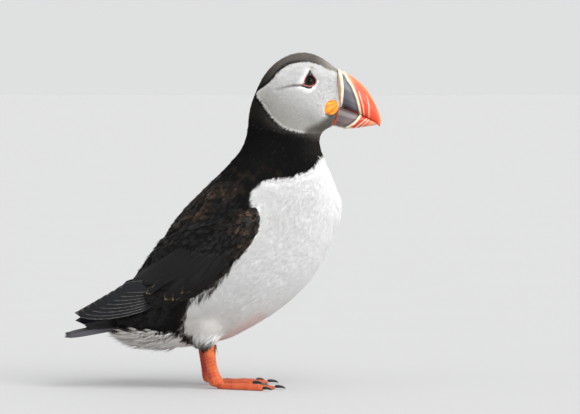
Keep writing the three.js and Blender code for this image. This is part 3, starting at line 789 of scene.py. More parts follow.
def coat(name, kept, pattern, finish, spacing, lift, length, width, seed, curl=0.2 * MM,
         stray=0.25, uneven=0.18, slot="plumage_white", tint=None, soft=False, patchy=0.16,
         lie=None):
    """One piece of the coat, over the part of the skin where kept is above zero."""
    holder = held(skin_mesh.copy(), name)
    mesh = holder.data
    marked(mesh, "kept", kept)
    length, width = (np.broadcast_to(side, len(kept)) for side in (length, width))
    aimed(mesh, "size", np.stack([length, width, length], axis=1))
    if lie is not None:
        aimed(mesh, "lie", lie)
    grow = holder.modifiers.new("feathering", "NODES")
    grow.node_group = FEATHERING
    inputs = {item.name: item.identifier for item in FEATHERING.interface.items_tree
              if item.in_out == "INPUT"}
    for socket, value in (("Feather", pattern), ("Finish", finish), ("Spacing", spacing),
                          ("Lift", lift), ("Stray", stray), ("Uneven", uneven), ("Seed", seed)):
        grow[inputs[socket]] = value
    plain = settled(holder)
    roots, way, vane, chance, per = wind_free(plain, pattern, curl, seed)
    shown_at = roots + way * (np.mean(length) * 0.6)
    colours = plumage(shown_at, lookup(roots, on_wing))
    if tint is not None:
        colours = tint(colours, roots, chance)
    colours = np.repeat(colours, per, axis=0)
    light = 1 + patchy * (np.repeat(chance, per) - 0.5) + patchy * (vane[:, 2] - 0.5)
    painted(plain, "markings", colours * light[:, None])
    for used_up in ("kept", "lie", "size", "bare", "root", "along_skin"):
        plain.attributes.remove(plain.attributes[used_up])
    spots = spun(roots)
    spots = (spots - spots.min(axis=0)) / (np.ptp(spots, axis=0) + 1e-9) * 0.99 + 0.003
    local = np.stack([vane[:, 0], vane[:, 1] * 0.5 + 0.5], axis=1) * PATCH
    mapped(plain, np.repeat(spots, per, axis=0) + local)
    finished(held(plain, name), slot, soft=soft)


skin_tree = surface_tree(skin_mesh)
skin_corner = np.array([polygon.vertices[0] for polygon in skin_mesh.polygons])


def lookup(points, values):
    """The skin's own value at the places nearest to these points."""
    faces = [skin_tree.find_nearest(Vector(point))[2] for point in points]
    return values[skin_corner[faces]]


def laid_normal(tree, amount, own=None):
    """The shading direction of a feather, drawn towards the body's own surface under it."""
    own = own or placed(tree, "ShaderNodeNewGeometry").outputs["Normal"]
    body = stored(tree, "off_skin", "Vector")
    drawn = placed(tree, "ShaderNodeMix", {0: amount, 4: own, 5: body}, data_type="VECTOR")
    return placed(tree, "ShaderNodeVectorMath", {0: drawn.outputs[1]},
                  operation="NORMALIZE").outputs[0]


def down_finish(name, flatness, gloss, root_shade, unevenness):
    """Soft barbs with little gloss, each barb a touch darker at its root."""
    material, tree, shader = sheet_of_nodes(name, 0.75, Specular_IOR_Level=gloss)
    along = placed(tree, "ShaderNodeSeparateXYZ", {0: stored(tree, "vane", "Vector")}).outputs[0]
    grain = ranged(tree, grained(tree, 700.0, 2.0), 1 - unevenness, 1 + unevenness)
    level = worked(tree, "MULTIPLY", ranged(tree, along, root_shade, 1.0, 0.0, 0.6), grain)
    wired(tree, shader, Base_Color=tinted(tree, level), Normal=laid_normal(tree, flatness))
    return material


DOWN = down_finish("white_down", 0.8, 0.08, 0.92, 0.04)
FACE_DOWN = down_finish("face_down", 0.75, 0.08, 0.86, 0.08)
LOOSE_DOWN = down_finish("loose_down", 0.5, 0.05, 0.68, 0.08)
DARK_DOWN = down_finish("dark_down", 0.6, 0.12, 0.6, 0.15)
FLUFF_TOP = 39 * MM
VENT_FRONT = -30 * MM
BREAST_FRONT = 62 * MM
WING_EDGE = 0.45
x, y, z = skin_points.T
feathered = 1.0 * (on_legs < 0.5)
head_zone = feathered * (z > line_height(x, *JAW_LINE))
cheek_here = outline_depth(x, z, CHEEK_CURVE)
cheek_zone = head_zone * (cheek_here > -0.3 * MM)
LOWER_PLATE_LINE = [(53.0, 202.2), (56.2, 200.7), (59.6, 200.2), (61.0, 201.0)]
UPPER_PLATE_LINE = [(58.1, 211.6), (58.3, 209.0)]


def off_the_eye(points):
    """Distance from the bare eye and its plates, negative on them."""
    x, _, z = points.T
    ring = -outline_depth(x, z, EYE_CURVE) - 0.3 * MM
    lower, _ = path_distance(x, z, LOWER_PLATE_LINE)
    upper, upper_along = path_distance(x, z, UPPER_PLATE_LINE)
    plates = np.minimum(lower - 0.7 * MM, upper - (0.3 + 0.7 * upper_along) * MM)
    return np.minimum(ring, plates)


FACE_TUFT = 3.0 * MM
eye_gap = off_the_eye(skin_points)
face_length = np.clip(0.7 * MM + eye_gap * 0.75, 0.9 * MM, FACE_TUFT)
reached = [off_the_eye(skin_points + skin_lie * (face_length * step)[:, None])
           for step in (0, 0.35, 0.7, 1)]
clear_of_eye = 1.0 * (np.min(reached, axis=0) > 0)
short_tuft = barbs(6, 0.46, 0.18, 0.04, 1)
under_here = outline_depth(x, z, UNDERPARTS_CURVE)
neck_zone = feathered * (z > line_height(x, *COLLAR_LINE) - 6 * MM) * (1 - (head_zone > 0))
neck_zone = neck_zone * (under_here < 0.8 * MM)
off_wing = 1.0 * (on_wing < WING_EDGE)
off_head = feathered * (neck_zone < 0.5) * (head_zone < 0.5) * off_wing
under_zone = off_head * (under_here > -1 * MM)
leg_fluff = feathered * (on_thigh > 0.3) * (z < FLUFF_TOP)
under_zone = under_zone * (leg_fluff < 0.5)
breast_zone = under_zone * (x + z * 0.25 > BREAST_FRONT)
vent_zone = under_zone * (x < VENT_FRONT)
belly_zone = under_zone * (breast_zone < 0.5) * (vent_zone < 0.5)
back_zone = off_head * (under_here <= -1 * MM)
long_tuft = barbs(7, 0.45, 0.15, 0.022, 2)
fine_tuft = barbs(9, 0.5, 0.11, 0.016, 3)


def room_to_lie(zone, length, reach, other):
    """How long feathers may be in a zone: they don't stand off a sharp bend of the body, and
    they don't lie over the part marked as other."""
    longest = np.broadcast_to(length, len(zone)).copy()
    places = np.flatnonzero(zone > 0)
    room = np.zeros(len(places))
    open_way = np.ones(len(places), dtype=bool)
    for step in (0.25, 0.5, 0.75, 1.0):
        ends = skin_points[places] + skin_lie[places] * (longest[places] * step)[:, None]
        hits = [skin_tree.find_nearest(Vector(end)) for end in ends]
        gaps = np.array([hit[3] for hit in hits])
        taken = other[skin_corner[[hit[2] for hit in hits]]]
        open_way &= (gaps < reach) & (taken < WING_EDGE)
        room = np.where(open_way, step, room)
    free = np.zeros(len(zone))
    free[places] = room
    return free, longest * np.maximum(free, 0.25)


coat("coat_cheeks", cheek_zone * clear_of_eye, short_tuft, FACE_DOWN, 0.58 * MM, 0.15,
     face_length, 1.0 * MM, 11, curl=0.08 * MM, slot="plumage_head", patchy=0.1)
coat("coat_cap", head_zone * (cheek_zone < 0.5), short_tuft, DARK_DOWN, 0.58 * MM, 0.16, FACE_TUFT,
     1.0 * MM, 12, curl=0.08 * MM, slot="plumage_head")
coat("coat_collar", neck_zone, short_tuft, DARK_DOWN, 0.85 * MM, 0.17, 4.6 * MM, 1.6 * MM, 13,
     slot="plumage_dark")
nothing = np.zeros(len(skin_points))
dark_above = np.maximum(on_wing, 1.0 * (under_here < -0.6 * MM) * (z > 84 * MM))
free, reach = room_to_lie(breast_zone, 8 * MM, 1.7 * MM, dark_above)
coat("coat_breast", breast_zone * (free > 0), fine_tuft, DOWN, 0.9 * MM, 0.07, reach, 1.8 * MM, 14,
     stray=0.09, curl=0.05 * MM, patchy=0.04)
free, reach = room_to_lie(belly_zone, 8.5 * MM, 1.9 * MM, dark_above)
coat("coat_belly", belly_zone * (free > 0), fine_tuft, DOWN, 0.92 * MM, 0.07, reach, 1.9 * MM, 15,
     stray=0.12, curl=0.1 * MM, patchy=0.05)
shaggy = (9.0 + 3.5 * smooth(x, -44 * MM, -60 * MM)) * MM
coat("coat_vent", vent_zone, long_tuft, DOWN, 0.95 * MM, 0.22, shaggy, 1.6 * MM, 18,
     stray=0.3, curl=1.2 * MM, uneven=0.3, patchy=0.12)


def dusky_thigh(_, roots, chance):
    """The thigh feathers are white in front, brown behind, and dark at their lowest tips."""
    x, _, z = roots.T
    low = smooth(z + 3 * MM * (chance - 0.5), 36 * MM, 30 * MM)
    behind = smooth(x + z * 0.35 + 6 * MM * (chance - 0.5), -2.5 * MM, -8 * MM)
    brown = blended(FLANK_BROWN, FLANK, chance * 0.7)
    white = blended(WHITE, TAN, 0.35 * (chance > 0.8) * smooth(z, 42 * MM, 36 * MM))
    return blended(white, brown, np.maximum(low, behind))


def dusky_flank(_, roots, chance):
    """The flank's long loose feathers are blackish, and brown where they end over the white."""
    brown = smooth(roots[:, 0], -34 * MM, -22 * MM) * chance
    return blended(FLANK, FLANK_BROWN, brown)


thigh_lie = guided(skin_points, [((-8, 26, 40), (-0.62, 0, -0.8)),
                                 ((-16, 22, 32), (-0.4, 0, -0.95)),
                                 ((-14, 26, 26), (-0.12, 0, -1))])
flank_lie = guided(skin_points, [((-2, 38, 80), (-0.5, 0, -0.9)), ((-16, 36, 62), (-0.3, 0, -1)),
                                 ((-28, 32, 46), (-0.2, 0, -1)), ((-48, 18, 42), (-0.45, 0, -0.95)),
                                 ((-70, 10, 42), (-1, 0, -0.4))])
coat("coat_thighs", leg_fluff, long_tuft, LOOSE_DOWN, 0.75 * MM, 0.1, 7.5 * MM, 1.3 * MM, 16,
     curl=0.3 * MM, stray=0.24, tint=dusky_thigh, lie=along_skin(thigh_lie))
coat("coat_back", back_zone, long_tuft, DARK_DOWN, 1.15 * MM, 0.17, 6.5 * MM, 2.4 * MM, 17,
     slot="plumage_dark")
below_wing = smooth(z, 56 * MM, 64 * MM) * smooth(z, 90 * MM, 82 * MM)
border = 1.0 * (under_here > -6 * MM) * (under_here < (0.6 + 4.4 * below_wing) * MM)
border = border * (off_head + on_wing > 0)
border = border * (z < 92 * MM) * (x > -78 * MM) * (np.abs(y) > 4 * MM) * (on_legs < 0.5)
coat("coat_flank_fringe", border, long_tuft, DARK_DOWN, 0.8 * MM, 0.1, 7.5 * MM, 1.2 * MM, 19,
     curl=0.5 * MM, stray=0.16, uneven=0.4, slot="plumage_dark", tint=dusky_flank,
     lie=along_skin(flank_lie))

# --- Wing coverts and mantle ---------------------------------------------------------------------
# Rounded contour feathers with a quill, laid like tiles from the shoulder back. They are black
# with a worn brown fringe, palest at the wrist and on the shoulder feathers.


def vane_faces(rows):
    """Faces between rows of six corners, five over the web and one under the quill, closed at
    both ends."""
    faces = []
    last = (rows - 1) * 6
    for here in range(0, last, 6):
        there = here + 6
        faces += [(here + left, there + left, there + left + 1, here + left + 1)
                  for left in range(4)]
        faces += [(here, here + 5, there + 5, there), (here + 5, here + 4, there + 4, there + 5)]
    return faces + [(0, 1, 2, 3, 4, 5), tuple(range(last + 5, last - 1, -1))]


def blade(rows, rounding, camber, sag, thickness, frayed):
    """One contour feather with a quill down its middle, one unit long and one wide."""
    points, vane = [], []
    for row in range(rows):
        t = row / (rows - 1)
        swell = min(1, 0.3 + 0.7 * (t / 0.3) ** 0.8) if t < 0.3 else 1
        end = max(0, (t - rounding) / (1 - rounding))
        half = 0.5 * swell * math.sqrt(max(0.0, 1 - end * end)) + 0.004
        notch = frayed * (row % 2)
        drop = -sag * t * t
        for across in (-1, -0.55, 0, 0.55, 1):
            lean = t - 0.1 * abs(across) * (1 - end) - notch * abs(across) * 0.5
            top = camber * (1 - across * across) + drop + (thickness * 0.6 if across == 0 else 0)
            points.append((lean, across * half, top))
            vane.append((t, across, 0.5))
        points.append((t, 0, camber + drop - thickness))
        vane.append((t, 0, 0))
    return feather_object("feather", points, vane_faces(rows), vane)


def vane_finish(name, fringe, rim_width, rim_start=0.0):
    """A feather's web: fine barbs that slant from the quill, and a worn paler rim."""
    material, tree, shader = sheet_of_nodes(name, 0.5, Specular_IOR_Level=0.16)
    vane = stored(tree, "vane", "Vector")
    along, across, _ = placed(tree, "ShaderNodeSeparateXYZ", {0: vane}).outputs
    aside = worked(tree, "ABSOLUTE", across)
    slant = worked(tree, "MULTIPLY_ADD", aside, -0.35, along)
    comb = worked(tree, "SINE", worked(tree, "MULTIPLY", slant, 260.0))
    outward = ranged(tree, along, 0.0, 1.0, rim_start, rim_start + 0.25)
    side_rim = worked(tree, "MULTIPLY", worked(tree, "POWER", aside, 3.0), outward)
    rim = worked(tree, "MAXIMUM", side_rim, worked(tree, "POWER", along, 7.0))
    worn = worked(tree, "MULTIPLY_ADD", grained(tree, 420.0, 3.0), 0.55, rim)
    edge = ranged(tree, worn, 0.0, 1.0, 1.25 - rim_width, 1.3)
    lengthwise = placed(tree, "ShaderNodeCombineXYZ", {0: across, 1: along}).outputs[0]
    run = placed(tree, "ShaderNodeVectorMath", {0: lengthwise, 1: (9.0, 1.2, 0.0)},
                 operation="MULTIPLY").outputs[0]
    drift = dimmed(tree, placed(tree, "ShaderNodeTexCoord").outputs["Object"], 60.0)
    strands = placed(tree, "ShaderNodeVectorMath", {0: run, 1: drift}, operation="ADD").outputs[0]
    streak = placed(tree, "ShaderNodeTexNoise", {"Vector": strands, "Scale": 1.0, "Detail": 3.0,
                                                 "Roughness": 0.65}).outputs[0]
    level = worked(tree, "ADD", ranged(tree, comb, 0.8, 1.12, -1.0, 1.0),
                   ranged(tree, streak, -0.35, 0.9, 0.3, 0.75))
    web = tinted(tree, level)
    colour = placed(tree, "ShaderNodeMix", {0: edge, 6: web, 7: (*fringe, 1.0)},
                    data_type="RGBA").outputs[2]
    bump = bumped(tree, 0.35, 0.0001, comb)
    wired(tree, shader, Base_Color=colour, Normal=laid_normal(tree, 0.5, bump))
    return material


COVERT_WEB = vane_finish("covert_web", FRINGE, 0.1)
covert = blade(7, 0.42, 0.035, 0.05, 0.01, 0.05)
wing_tail_end = smooth(z, 95 * MM, 65 * MM)
covert_length = (8.0 + 4.0 * wing_tail_end) * MM


def brown_at_wrist(colours, roots, chance):
    """The wrist and the leading coverts are worn brown."""
    worn = smooth(roots[:, 0], 6 * MM, 21 * MM) * smooth(chance, 0.25, 1.0)
    return blended(np.minimum(colours, MANTLE * 2.2), FRINGE, worn * 0.75)


for side, sign in SIDES:
    here = on_wing * (on_wing > 0.4) * (y * sign > 0)
    free, reach = room_to_lie(here * level_here, covert_length, 1.3 * MM, nothing)
    coat("coat_coverts_" + side, here * (free > 0), covert, COVERT_WEB, 1.9 * MM, 0.07, reach,
         4.6 * MM, 30 + sign, curl=0.15 * MM, slot="plumage_dark", tint=brown_at_wrist, soft=True)
    free, reach = room_to_lie(here, 7 * MM, 1.2 * MM, nothing)
    coat("coat_wing_fluff_" + side, here * (free > 0), long_tuft, DARK_DOWN, 1.25 * MM, 0.16,
         reach, 1.3 * MM, 20 + sign, slot="plumage_dark", tint=brown_at_wrist, stray=0.18,
         patchy=0.5)
mantle_zone = back_zone * (under_here < -7 * MM) * level_here
free, reach = room_to_lie(mantle_zone, 9 * MM, 1.5 * MM, nothing)
coat("coat_mantle", mantle_zone * (free > 0), covert, COVERT_WEB, 2.2 * MM, 0.09, reach, 5 * MM,
     40, slot="plumage_dark", soft=True)

# The single tufts and the single covert have all been set, and they aren't part of the bird.
for pattern in (short_tuft, long_tuft, fine_tuft, covert):
    bpy.data.objects.remove(pattern)

# --- Flight feathers and tail --------------------------------------------------------------------
# Long stiff quills. The folded primaries lie stepped over the tail's root, each with a pale worn
# edge, and the tail feathers fan a little under them.
QUILL_ROWS = 15
QUILL_TAPERS_FROM = 0.74
QUILL_RIDGE = ((-1, 0), (-0.5, 0.2), (0, 0.42), (0.5, 0.2), (1, 0))


def quill_feather(spine, facings, half):
    """Points and web places of one long closed vane along a spine of places in metres."""
    rows = QUILL_ROWS
    steps = np.linspace(0, len(spine) - 1, rows)

    def evenly(places):
        columns = [np.interp(steps, range(len(places)), column) for column in zip(*places)]
        return [Vector(place) for place in zip(*columns)]

    spine, facings = evenly(spine), evenly(facings)
    points, vane = [], []
    for row in range(rows):
        t = row / (rows - 1)
        run = (spine[min(row + 1, rows - 1)] - spine[max(row - 1, 0)]).normalized()
        aside = facings[row].cross(run).normalized()
        up = run.cross(aside).normalized()
        swell = min(1, 0.45 + 0.55 * t / 0.35)
        end = max(0, (t - QUILL_TAPERS_FROM) / (1 - QUILL_TAPERS_FROM))
        wide = half * MM * swell * math.sqrt(max(0.0, 1 - end * end)) + 0.05 * MM
        for across, high in QUILL_RIDGE:
            lean = run * (-0.9 * wide * abs(across) * (1 - end))
            points.append(spine[row] + lean + aside * (across * wide) + up * (high * MM))
            vane.append((t, across, 0.5))
        points.append(spine[row] - up * 0.15 * MM)
        vane.append((t, 0, 0))
    return points, vane


def quill_set(name, feathers, colour, finish, slot, *nodes):
    """One piece of several long feathers, each with its own strip of the map."""
    points, faces, vane, tones, strips = [], [], [], [], []
    draw = np.random.default_rng(len(name))
    colours = np.broadcast_to(np.array(colour), (len(feathers), 3))
    for index, feather in enumerate(feathers):
        more, places = quill_feather(*feather)
        faces += [tuple(corner + len(points) for corner in face)
                  for face in vane_faces(QUILL_ROWS)]
        points += more
        vane += places
        tones += [colours[index] * (0.88 + 0.24 * draw.random())] * len(more)
        strips += [index] * len(more)
    mesh = bpy.data.meshes.new(name)
    mesh.from_pydata(points, [], faces)
    check = bmesh.new()
    check.from_mesh(mesh)
    bmesh.ops.recalc_face_normals(check, faces=check.faces)
    check.to_mesh(mesh)
    check.free()
    aimed(mesh, "vane", vane)
    sharp_rims(mesh, vane)
    dressed(mesh, finish, np.array(tones))
    vane = np.array(vane)
    strip = (np.array(strips) + 0.5 + 0.42 * vane[:, 1]) / len(feathers)
    mapped(mesh, np.stack([0.02 + 0.96 * vane[:, 0], strip], axis=1))
    finished(held(mesh, name), slot, *nodes)


def between(first, last, share):
    return tuple(a + (b - a) * share for a, b in zip(first, last))


SLATE = ink(25, 26, 29)
PALE_EDGE = ink(112, 109, 106)
TAIL_BROWN = ink(64, 62, 67)
TAIL_PINK = ink(92, 80, 78)
TAIL_EDGE = ink(26, 25, 28)
FLIGHT_WEB = vane_finish("flight_web", PALE_EDGE, 0.3, 0.1)
BUFF_WEB = vane_finish("buff_web", ink(160, 138, 104), 0.42, 0.7)
TERTIAL_WEB = vane_finish("tertial_web", FRINGE, 0.1, 0.75)
TAIL_WEB = vane_finish("tail_web", TAIL_EDGE, 0.5)
PRIMARY_COUNT = 8
LEFT_DROP = 5.6
TERTIALS = [((-60.5, 71.0), (-25, 95)), ((-57.0, 69.8), (-24, 94)), ((-52.0, 69.5), (-22, 93)),
            ((-46.0, 69.0), (-18, 92)), ((-40.0, 67.0), (-14, 91)), ((-33.5, 64.5), (-8, 90)),
            ((-26.0, 64.5), (-2, 90)), ((-18.5, 66.5), (4, 92))]
SECONDARIES = [((-49, 63.4), (-28, 82)), ((-45, 67.4), (-22, 84)), ((-37.6, 61.3), (-18, 80)),
               ((-33, 61.5), (-12, 80)), ((-27, 65.5), (-6, 84))]


def on_side(x, z, sign, stand):
    """The place that stands proud of the coat's surface at a side-view spot, and its normal."""
    start = Vector((x * MM, sign * 90 * MM, z * MM))
    hit, normal, _, _ = coat_top.ray_cast(start, Vector((0, -sign, 0)))
    if hit is None:
        hit, normal, _, _ = coat_top.find_nearest(Vector((x * MM, sign * 14 * MM, z * MM)))
    return hit + normal * stand * MM, normal


SPINE_STEPS = np.linspace(0, 1, 7)


def curved(first, last, sag):
    """Places on a side-view curve that hangs below the straight line between its ends."""
    return [(first[0] + (last[0] - first[0]) * t, first[1] + (last[1] - first[1]) * t
             - sag * math.sin(math.pi * t)) for t in SPINE_STEPS]


def tiled(sign, spots, sag, stand, sunk, half):
    """Feathers that lie over the wing from their roots to their tips, each sunk in at its root."""
    feathers = []
    for (tip, root), proud in zip(spots, stand):
        rise = [proud * (sunk + (1 - sunk) * min(1, order / 4)) for order in range(7)]
        places = [on_side(x, z, sign, high) for (x, z), high in zip(curved(root, tip, sag), rise)]
        feathers.append((*zip(*places), half))
    return feathers


for side, sign in SIDES:
    primaries = []
    for index in range(PRIMARY_COUNT):
        share = index / (PRIMARY_COUNT - 1)
        drop = LEFT_DROP * (sign > 0) * (1 - share)
        base = between((-36, 32.0, 63.5), (-44, 26.0, 69), share)
        tip = between((-99.3, 4.8, 49.8), (-68, 14.5, 67.4), share ** 1.1)
        side_view = curved((base[0], base[2]), (tip[0], tip[2]), 4.4 * (1 - share))
        spine = [(x * MM, sign * (base[1] + (tip[1] - base[1]) * t ** 1.4 + 0.42 * index) * MM,
                  (z - drop * t) * MM) for (x, z), t in zip(side_view, SPINE_STEPS)]
        primaries.append((spine, [(-0.2, sign, 0.4)] * 2, 4.7 - 0.6 * share))
    quill_set("primary_feathers_" + side, primaries, SLATE, FLIGHT_WEB, "flight_feathers",
              "primaries_" + side)
    stands = [1.5 - 0.13 * index for index in range(len(TERTIALS))]
    quill_set("tertials_" + side, tiled(sign, TERTIALS, 1.6, stands, -0.4, 3.9), MANTLE,
              TERTIAL_WEB, "flight_feathers")
    stands = [2.4] * len(SECONDARIES)
    quill_set("secondaries_" + side, tiled(sign, SECONDARIES, 0.6, stands, -0.3, 3.2), MANTLE,
              BUFF_WEB, "flight_feathers")

TAIL_COUNT = 16
COVERING_COUNT = 6
rectrices, tail_tones = [], []


def tail_feather(base, tip, lean, half, tone):
    """One straight tail feather that leans outwards by its place in the fan."""
    spine = [[c * MM for c in between(base, tip, t)] for t in (0, 0.5, 1)]
    rectrices.append((spine, [(0.2, lean, 1)] * 2, half))
    tail_tones.append(tone)


for index in range(TAIL_COUNT):
    share = (index + 0.5) / TAIL_COUNT * 2 - 1
    outer = abs(share) ** 1.3
    tail_feather((-60, share * 6, 46.0 - 4.4 * outer),
                 (-105.6 + 1.8 * (index % 3), share * 18, 36.0 - 2.0 * outer), share * 1.1,
                 3.4 - 1.2 * outer, (TAIL_BROWN, TAIL_PINK, SLATE)[(index * 2) % 3])
for index in range(COVERING_COUNT):
    share = (index + 0.5) / COVERING_COUNT * 2 - 1
    tail_feather((-58, share * 7, 47.2 - 1.6 * abs(share)),
                 (-94 + 3 * abs(share), share * 11, 42.2 - 2.2 * abs(share)), share, 3.6,
                 MANTLE * 1.6)
quill_set("tail_feathers", rectrices, tail_tones, TAIL_WEB, "flight_feathers", "tail")

# --- Bill ----------------------------------------------------------------------------------------
# Horn plates over bone: a slate panel at the root, a raised cream ridge, and the red front with
# its grooves. Both halves carry the same bands, and they meet at the gape.
BILL_MESH = 0.34 * MM
UPPER_RIDGE = [(80.8, 213), (82.6, 208.4), (83.9, 205.8), (86.6, 201.6), (88.5, 197.3),
               (90.1, 192.7), (91.2, 188.1), (92.6, 181)]
UPPER_GROOVE = [(91.2, 198), (92.0, 195), (92.8, 192.3), (93.9, 188.9), (94.3, 185.4), (95, 180)]
UPPER_FRONT_GROOVE = [(96.2, 196), (97.0, 193.1), (97.6, 189.3), (98.0, 185.4), (97.8, 179)]
LOWER_RIDGE = [(93.6, 186), (92.0, 181.6), (90.1, 178.9), (87.8, 176.6), (84.3, 174.6),
               (79, 171.5)]
LOWER_GROOVE = [(99, 183), (96.6, 180), (93.5, 177.3), (90, 174.6), (88, 172)]
LOWER_FRONT_GROOVE = [(101, 182), (98.2, 179.6), (95.9, 177), (92.8, 174.4), (91, 172)]
CULMEN = [(77.8, 212.3), (81.6, 210.8), (86.2, 207.7), (92.0, 203.9), (95.8, 199.6),
          (99.7, 194.6), (102.8, 189.3), (104.7, 183.5), (105.8, 178.5), (105.5, 174)]
SLATE_HORN = ink(104, 105, 111)
SLATE_DARK = ink(72, 75, 84)
SLATE_WARM = ink(122, 106, 102)
CREAM = ink(238, 222, 188)
BILL_RED = ink(240, 74, 42)
BILL_PEACH = ink(250, 160, 118)
BASE_RED = ink(206, 66, 34)
BILL_ORANGE = ink(242, 122, 58)
BILL_DEEP = ink(186, 34, 16)
GROOVE_PALE = ink(240, 196, 160)
TIP_HORN = ink(238, 150, 112)


def ahead(x, z, path):
    """Signed side-view distance in front of a path that runs from top to bottom."""
    gap, _ = path_distance(x, z, path)
    cut = np.interp(-z / MM, [-point[1] for point in path], [point[0] for point in path])
    return np.where(x / MM > cut, gap, -gap)


def band(distance, half, soft=0.25 * MM):
    """1 within half of a line, and soft at its edges."""
    return 1 - smooth(np.abs(distance), half - soft, half + soft)


def even_copy(names, voxel, grow, rounds):
    mesh = evened(copied_solids(names, grow), voxel)
    moved(mesh, relaxed(mesh, points_of(mesh), rounds, 0.5, -0.52))
    return mesh


def horn_finish():
    """Horn: banded colour, growth lines, small scuffs, and a dull polish."""
    material, tree, shader = sheet_of_nodes("bill_horn", 0.36, Coat_Weight=0.15,
                                            Coat_Roughness=0.3)
    ring = worked(tree, "MULTIPLY_ADD", grained(tree, 240.0, 3.0), 4.0, stored(tree, "growth"))
    lines = worked(tree, "SINE", ring)
    scuffs = grained(tree, 1400.0, 5.0, 0.65)
    level = worked(tree, "MULTIPLY", ranged(tree, lines, 0.95, 1.04, -1.0, 1.0),
                   ranged(tree, scuffs, 0.86, 1.1, 0.3, 0.75))
    relief = worked(tree, "MULTIPLY_ADD", lines, 0.22, scuffs)
    wired(tree, shader, Base_Color=tinted(tree, level),
          Roughness=ranged(tree, scuffs, 0.26, 0.5), Normal=bumped(tree, 0.3, 0.00012, relief))
    return material


HORN = horn_finish()


def bill_half(name, node, ridge, groove, front_groove, upper):
    """One half of the bill with its ridge, grooves and bands."""
    mesh = even_copy([node], BILL_MESH, 0.2 * MM, 8)
    points = points_of(mesh)
    x, y, z = points.T
    at_ridge = ahead(x, z, ridge)
    at_groove = ahead(x, z, groove)
    at_front = ahead(x, z, front_groove)
    culmen, _ = path_distance(x, z, CULMEN)
    fade = smooth(culmen, 0.8 * MM, 5 * MM) if upper else np.ones(len(x))
    horn = blended(SLATE_HORN if upper else SLATE_WARM, SLATE_DARK,
                   smooth(-at_ridge, 2 * MM, 8 * MM) * (0.9 if upper else 0.45))
    horn = blended(horn, SLATE_DARK, 0.9 * band(at_ridge + 1.5 * MM, 0.5 * MM, 0.5 * MM))
    deep = 0.6 * smooth(-culmen, -7 * MM, -12 * MM)
    red = blended(BILL_RED, BILL_DEEP, deep)
    if upper:
        red = blended(red, BILL_ORANGE, 1 - smooth(culmen, 0.6 * MM, 2.4 * MM))
        peach = smooth(z, 198 * MM, 208 * MM) * (1 - smooth(at_ridge, 1 * MM, 3.4 * MM))
        red = blended(red, BILL_PEACH, peach)
    else:
        red = blended(red, TIP_HORN, smooth(at_front, 0.5 * MM, 2.5 * MM))
    colours = blended(horn, red, smooth(at_ridge, 0.3 * MM, 0.9 * MM))
    colours = blended(colours, CREAM, band(at_ridge, 0.75 * MM))
    # Painted shade: the red is drawn deeper along both sides of each groove.
    groove_shade = band(np.abs(at_groove) - 0.85 * MM, 0.35 * MM) * 0.5
    colours = blended(colours, BILL_DEEP, groove_shade * fade)
    colours = blended(colours, GROOVE_PALE, band(at_groove, 0.42 * MM) * fade)
    colours = blended(colours, GROOVE_PALE, band(at_front, 0.42 * MM) * fade * 0.9)
    low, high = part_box(node)
    root = smooth(x, low.x + 1.2 * MM, low.x + 0.2 * MM)
    if not upper:
        keel, _ = path_distance(x, z, [(73.5, 174.6), (77.4, 173.4), (81.8, 172.8), (86, 173.0)])
        colours = blended(colours, CREAM, 0.85 * (1 - smooth(keel, 0.7 * MM, 1.4 * MM)))
        base = smooth(x - (z - 174 * MM) * 0.26, 75.3 * MM, 74.6 * MM)
        colours = blended(colours, BASE_RED, base * smooth(z, 174.6 * MM, 175.6 * MM))
    rise = 0.34 * band(at_ridge, 0.6 * MM, 0.5 * MM)
    rise -= 0.3 * band(at_groove, 0.2 * MM, 0.4 * MM) * fade
    rise -= 0.28 * band(at_front, 0.2 * MM, 0.4 * MM) * fade
    rise -= 0.12 * smooth(-at_ridge, 0.6 * MM, 1.8 * MM)
    points = points + normals_of(mesh) * (rise * MM * (1 - root))[:, None]
    points[:, 0] -= 2.4 * MM * root
    moved(mesh, points)
    dressed(mesh, HORN, colours)
    marked(mesh, "growth", at_ridge / MM * 5.5)
    finished(held(mesh, name), "bill_horn", node)


bill_half("upper_bill", "bill_upper", UPPER_RIDGE, UPPER_GROOVE, UPPER_FRONT_GROOVE, True)
bill_half("lower_bill", "bill_lower", LOWER_RIDGE, LOWER_GROOVE, LOWER_FRONT_GROOVE, False)

# --- Mouth, cere and gape rosettes ---------------------------------------------------------------
# Soft parts round the bill: the red lining between its halves, the pale pitted cere over its
# root, and the wrinkled orange rosette at each corner of the mouth.
MOUTH_RED = ink(150, 30, 16)
# Painted shade: the tan of the cere's sunken back half, its groove in shade.
CERE_SHADE_TAN = ink(150, 122, 92)
CERE_LINE = [(77.0, 213.5), (78.6, 207), (79.4, 199), (79.0, 192), (78.2, 187), (77.4, 183)]
CERE_RIM = ink(244, 226, 200)
ROSETTE = ink(250, 158, 24)
ROSETTE_DEEP = ink(226, 98, 12)
ROSETTE_MESH = 0.24 * MM


def fleshy_finish(name, roughness, pit_scale, pit_depth):
    """Soft waxy skin: its own colour, small pits, and a moist sheen."""
    material, tree, shader = sheet_of_nodes(name, roughness, Coat_Weight=0.1)
    pits = pitted(tree, pit_scale)
    level = worked(tree, "MULTIPLY", ranged(tree, pits, 0.84, 1.05, 0.0, 0.6),
                   ranged(tree, grained(tree, 700.0, 4.0), 0.88, 1.08, 0.3, 0.7))
    wired(tree, shader, Base_Color=tinted(tree, level),
          Normal=bumped(tree, 0.5, pit_depth, pits))
    return material


CERE_WAX = fleshy_finish("cere_wax", 0.5, 1500.0, 0.0002)
ROSETTE_FLESH = fleshy_finish("rosette_flesh", 0.45, 2200.0, 0.0001)

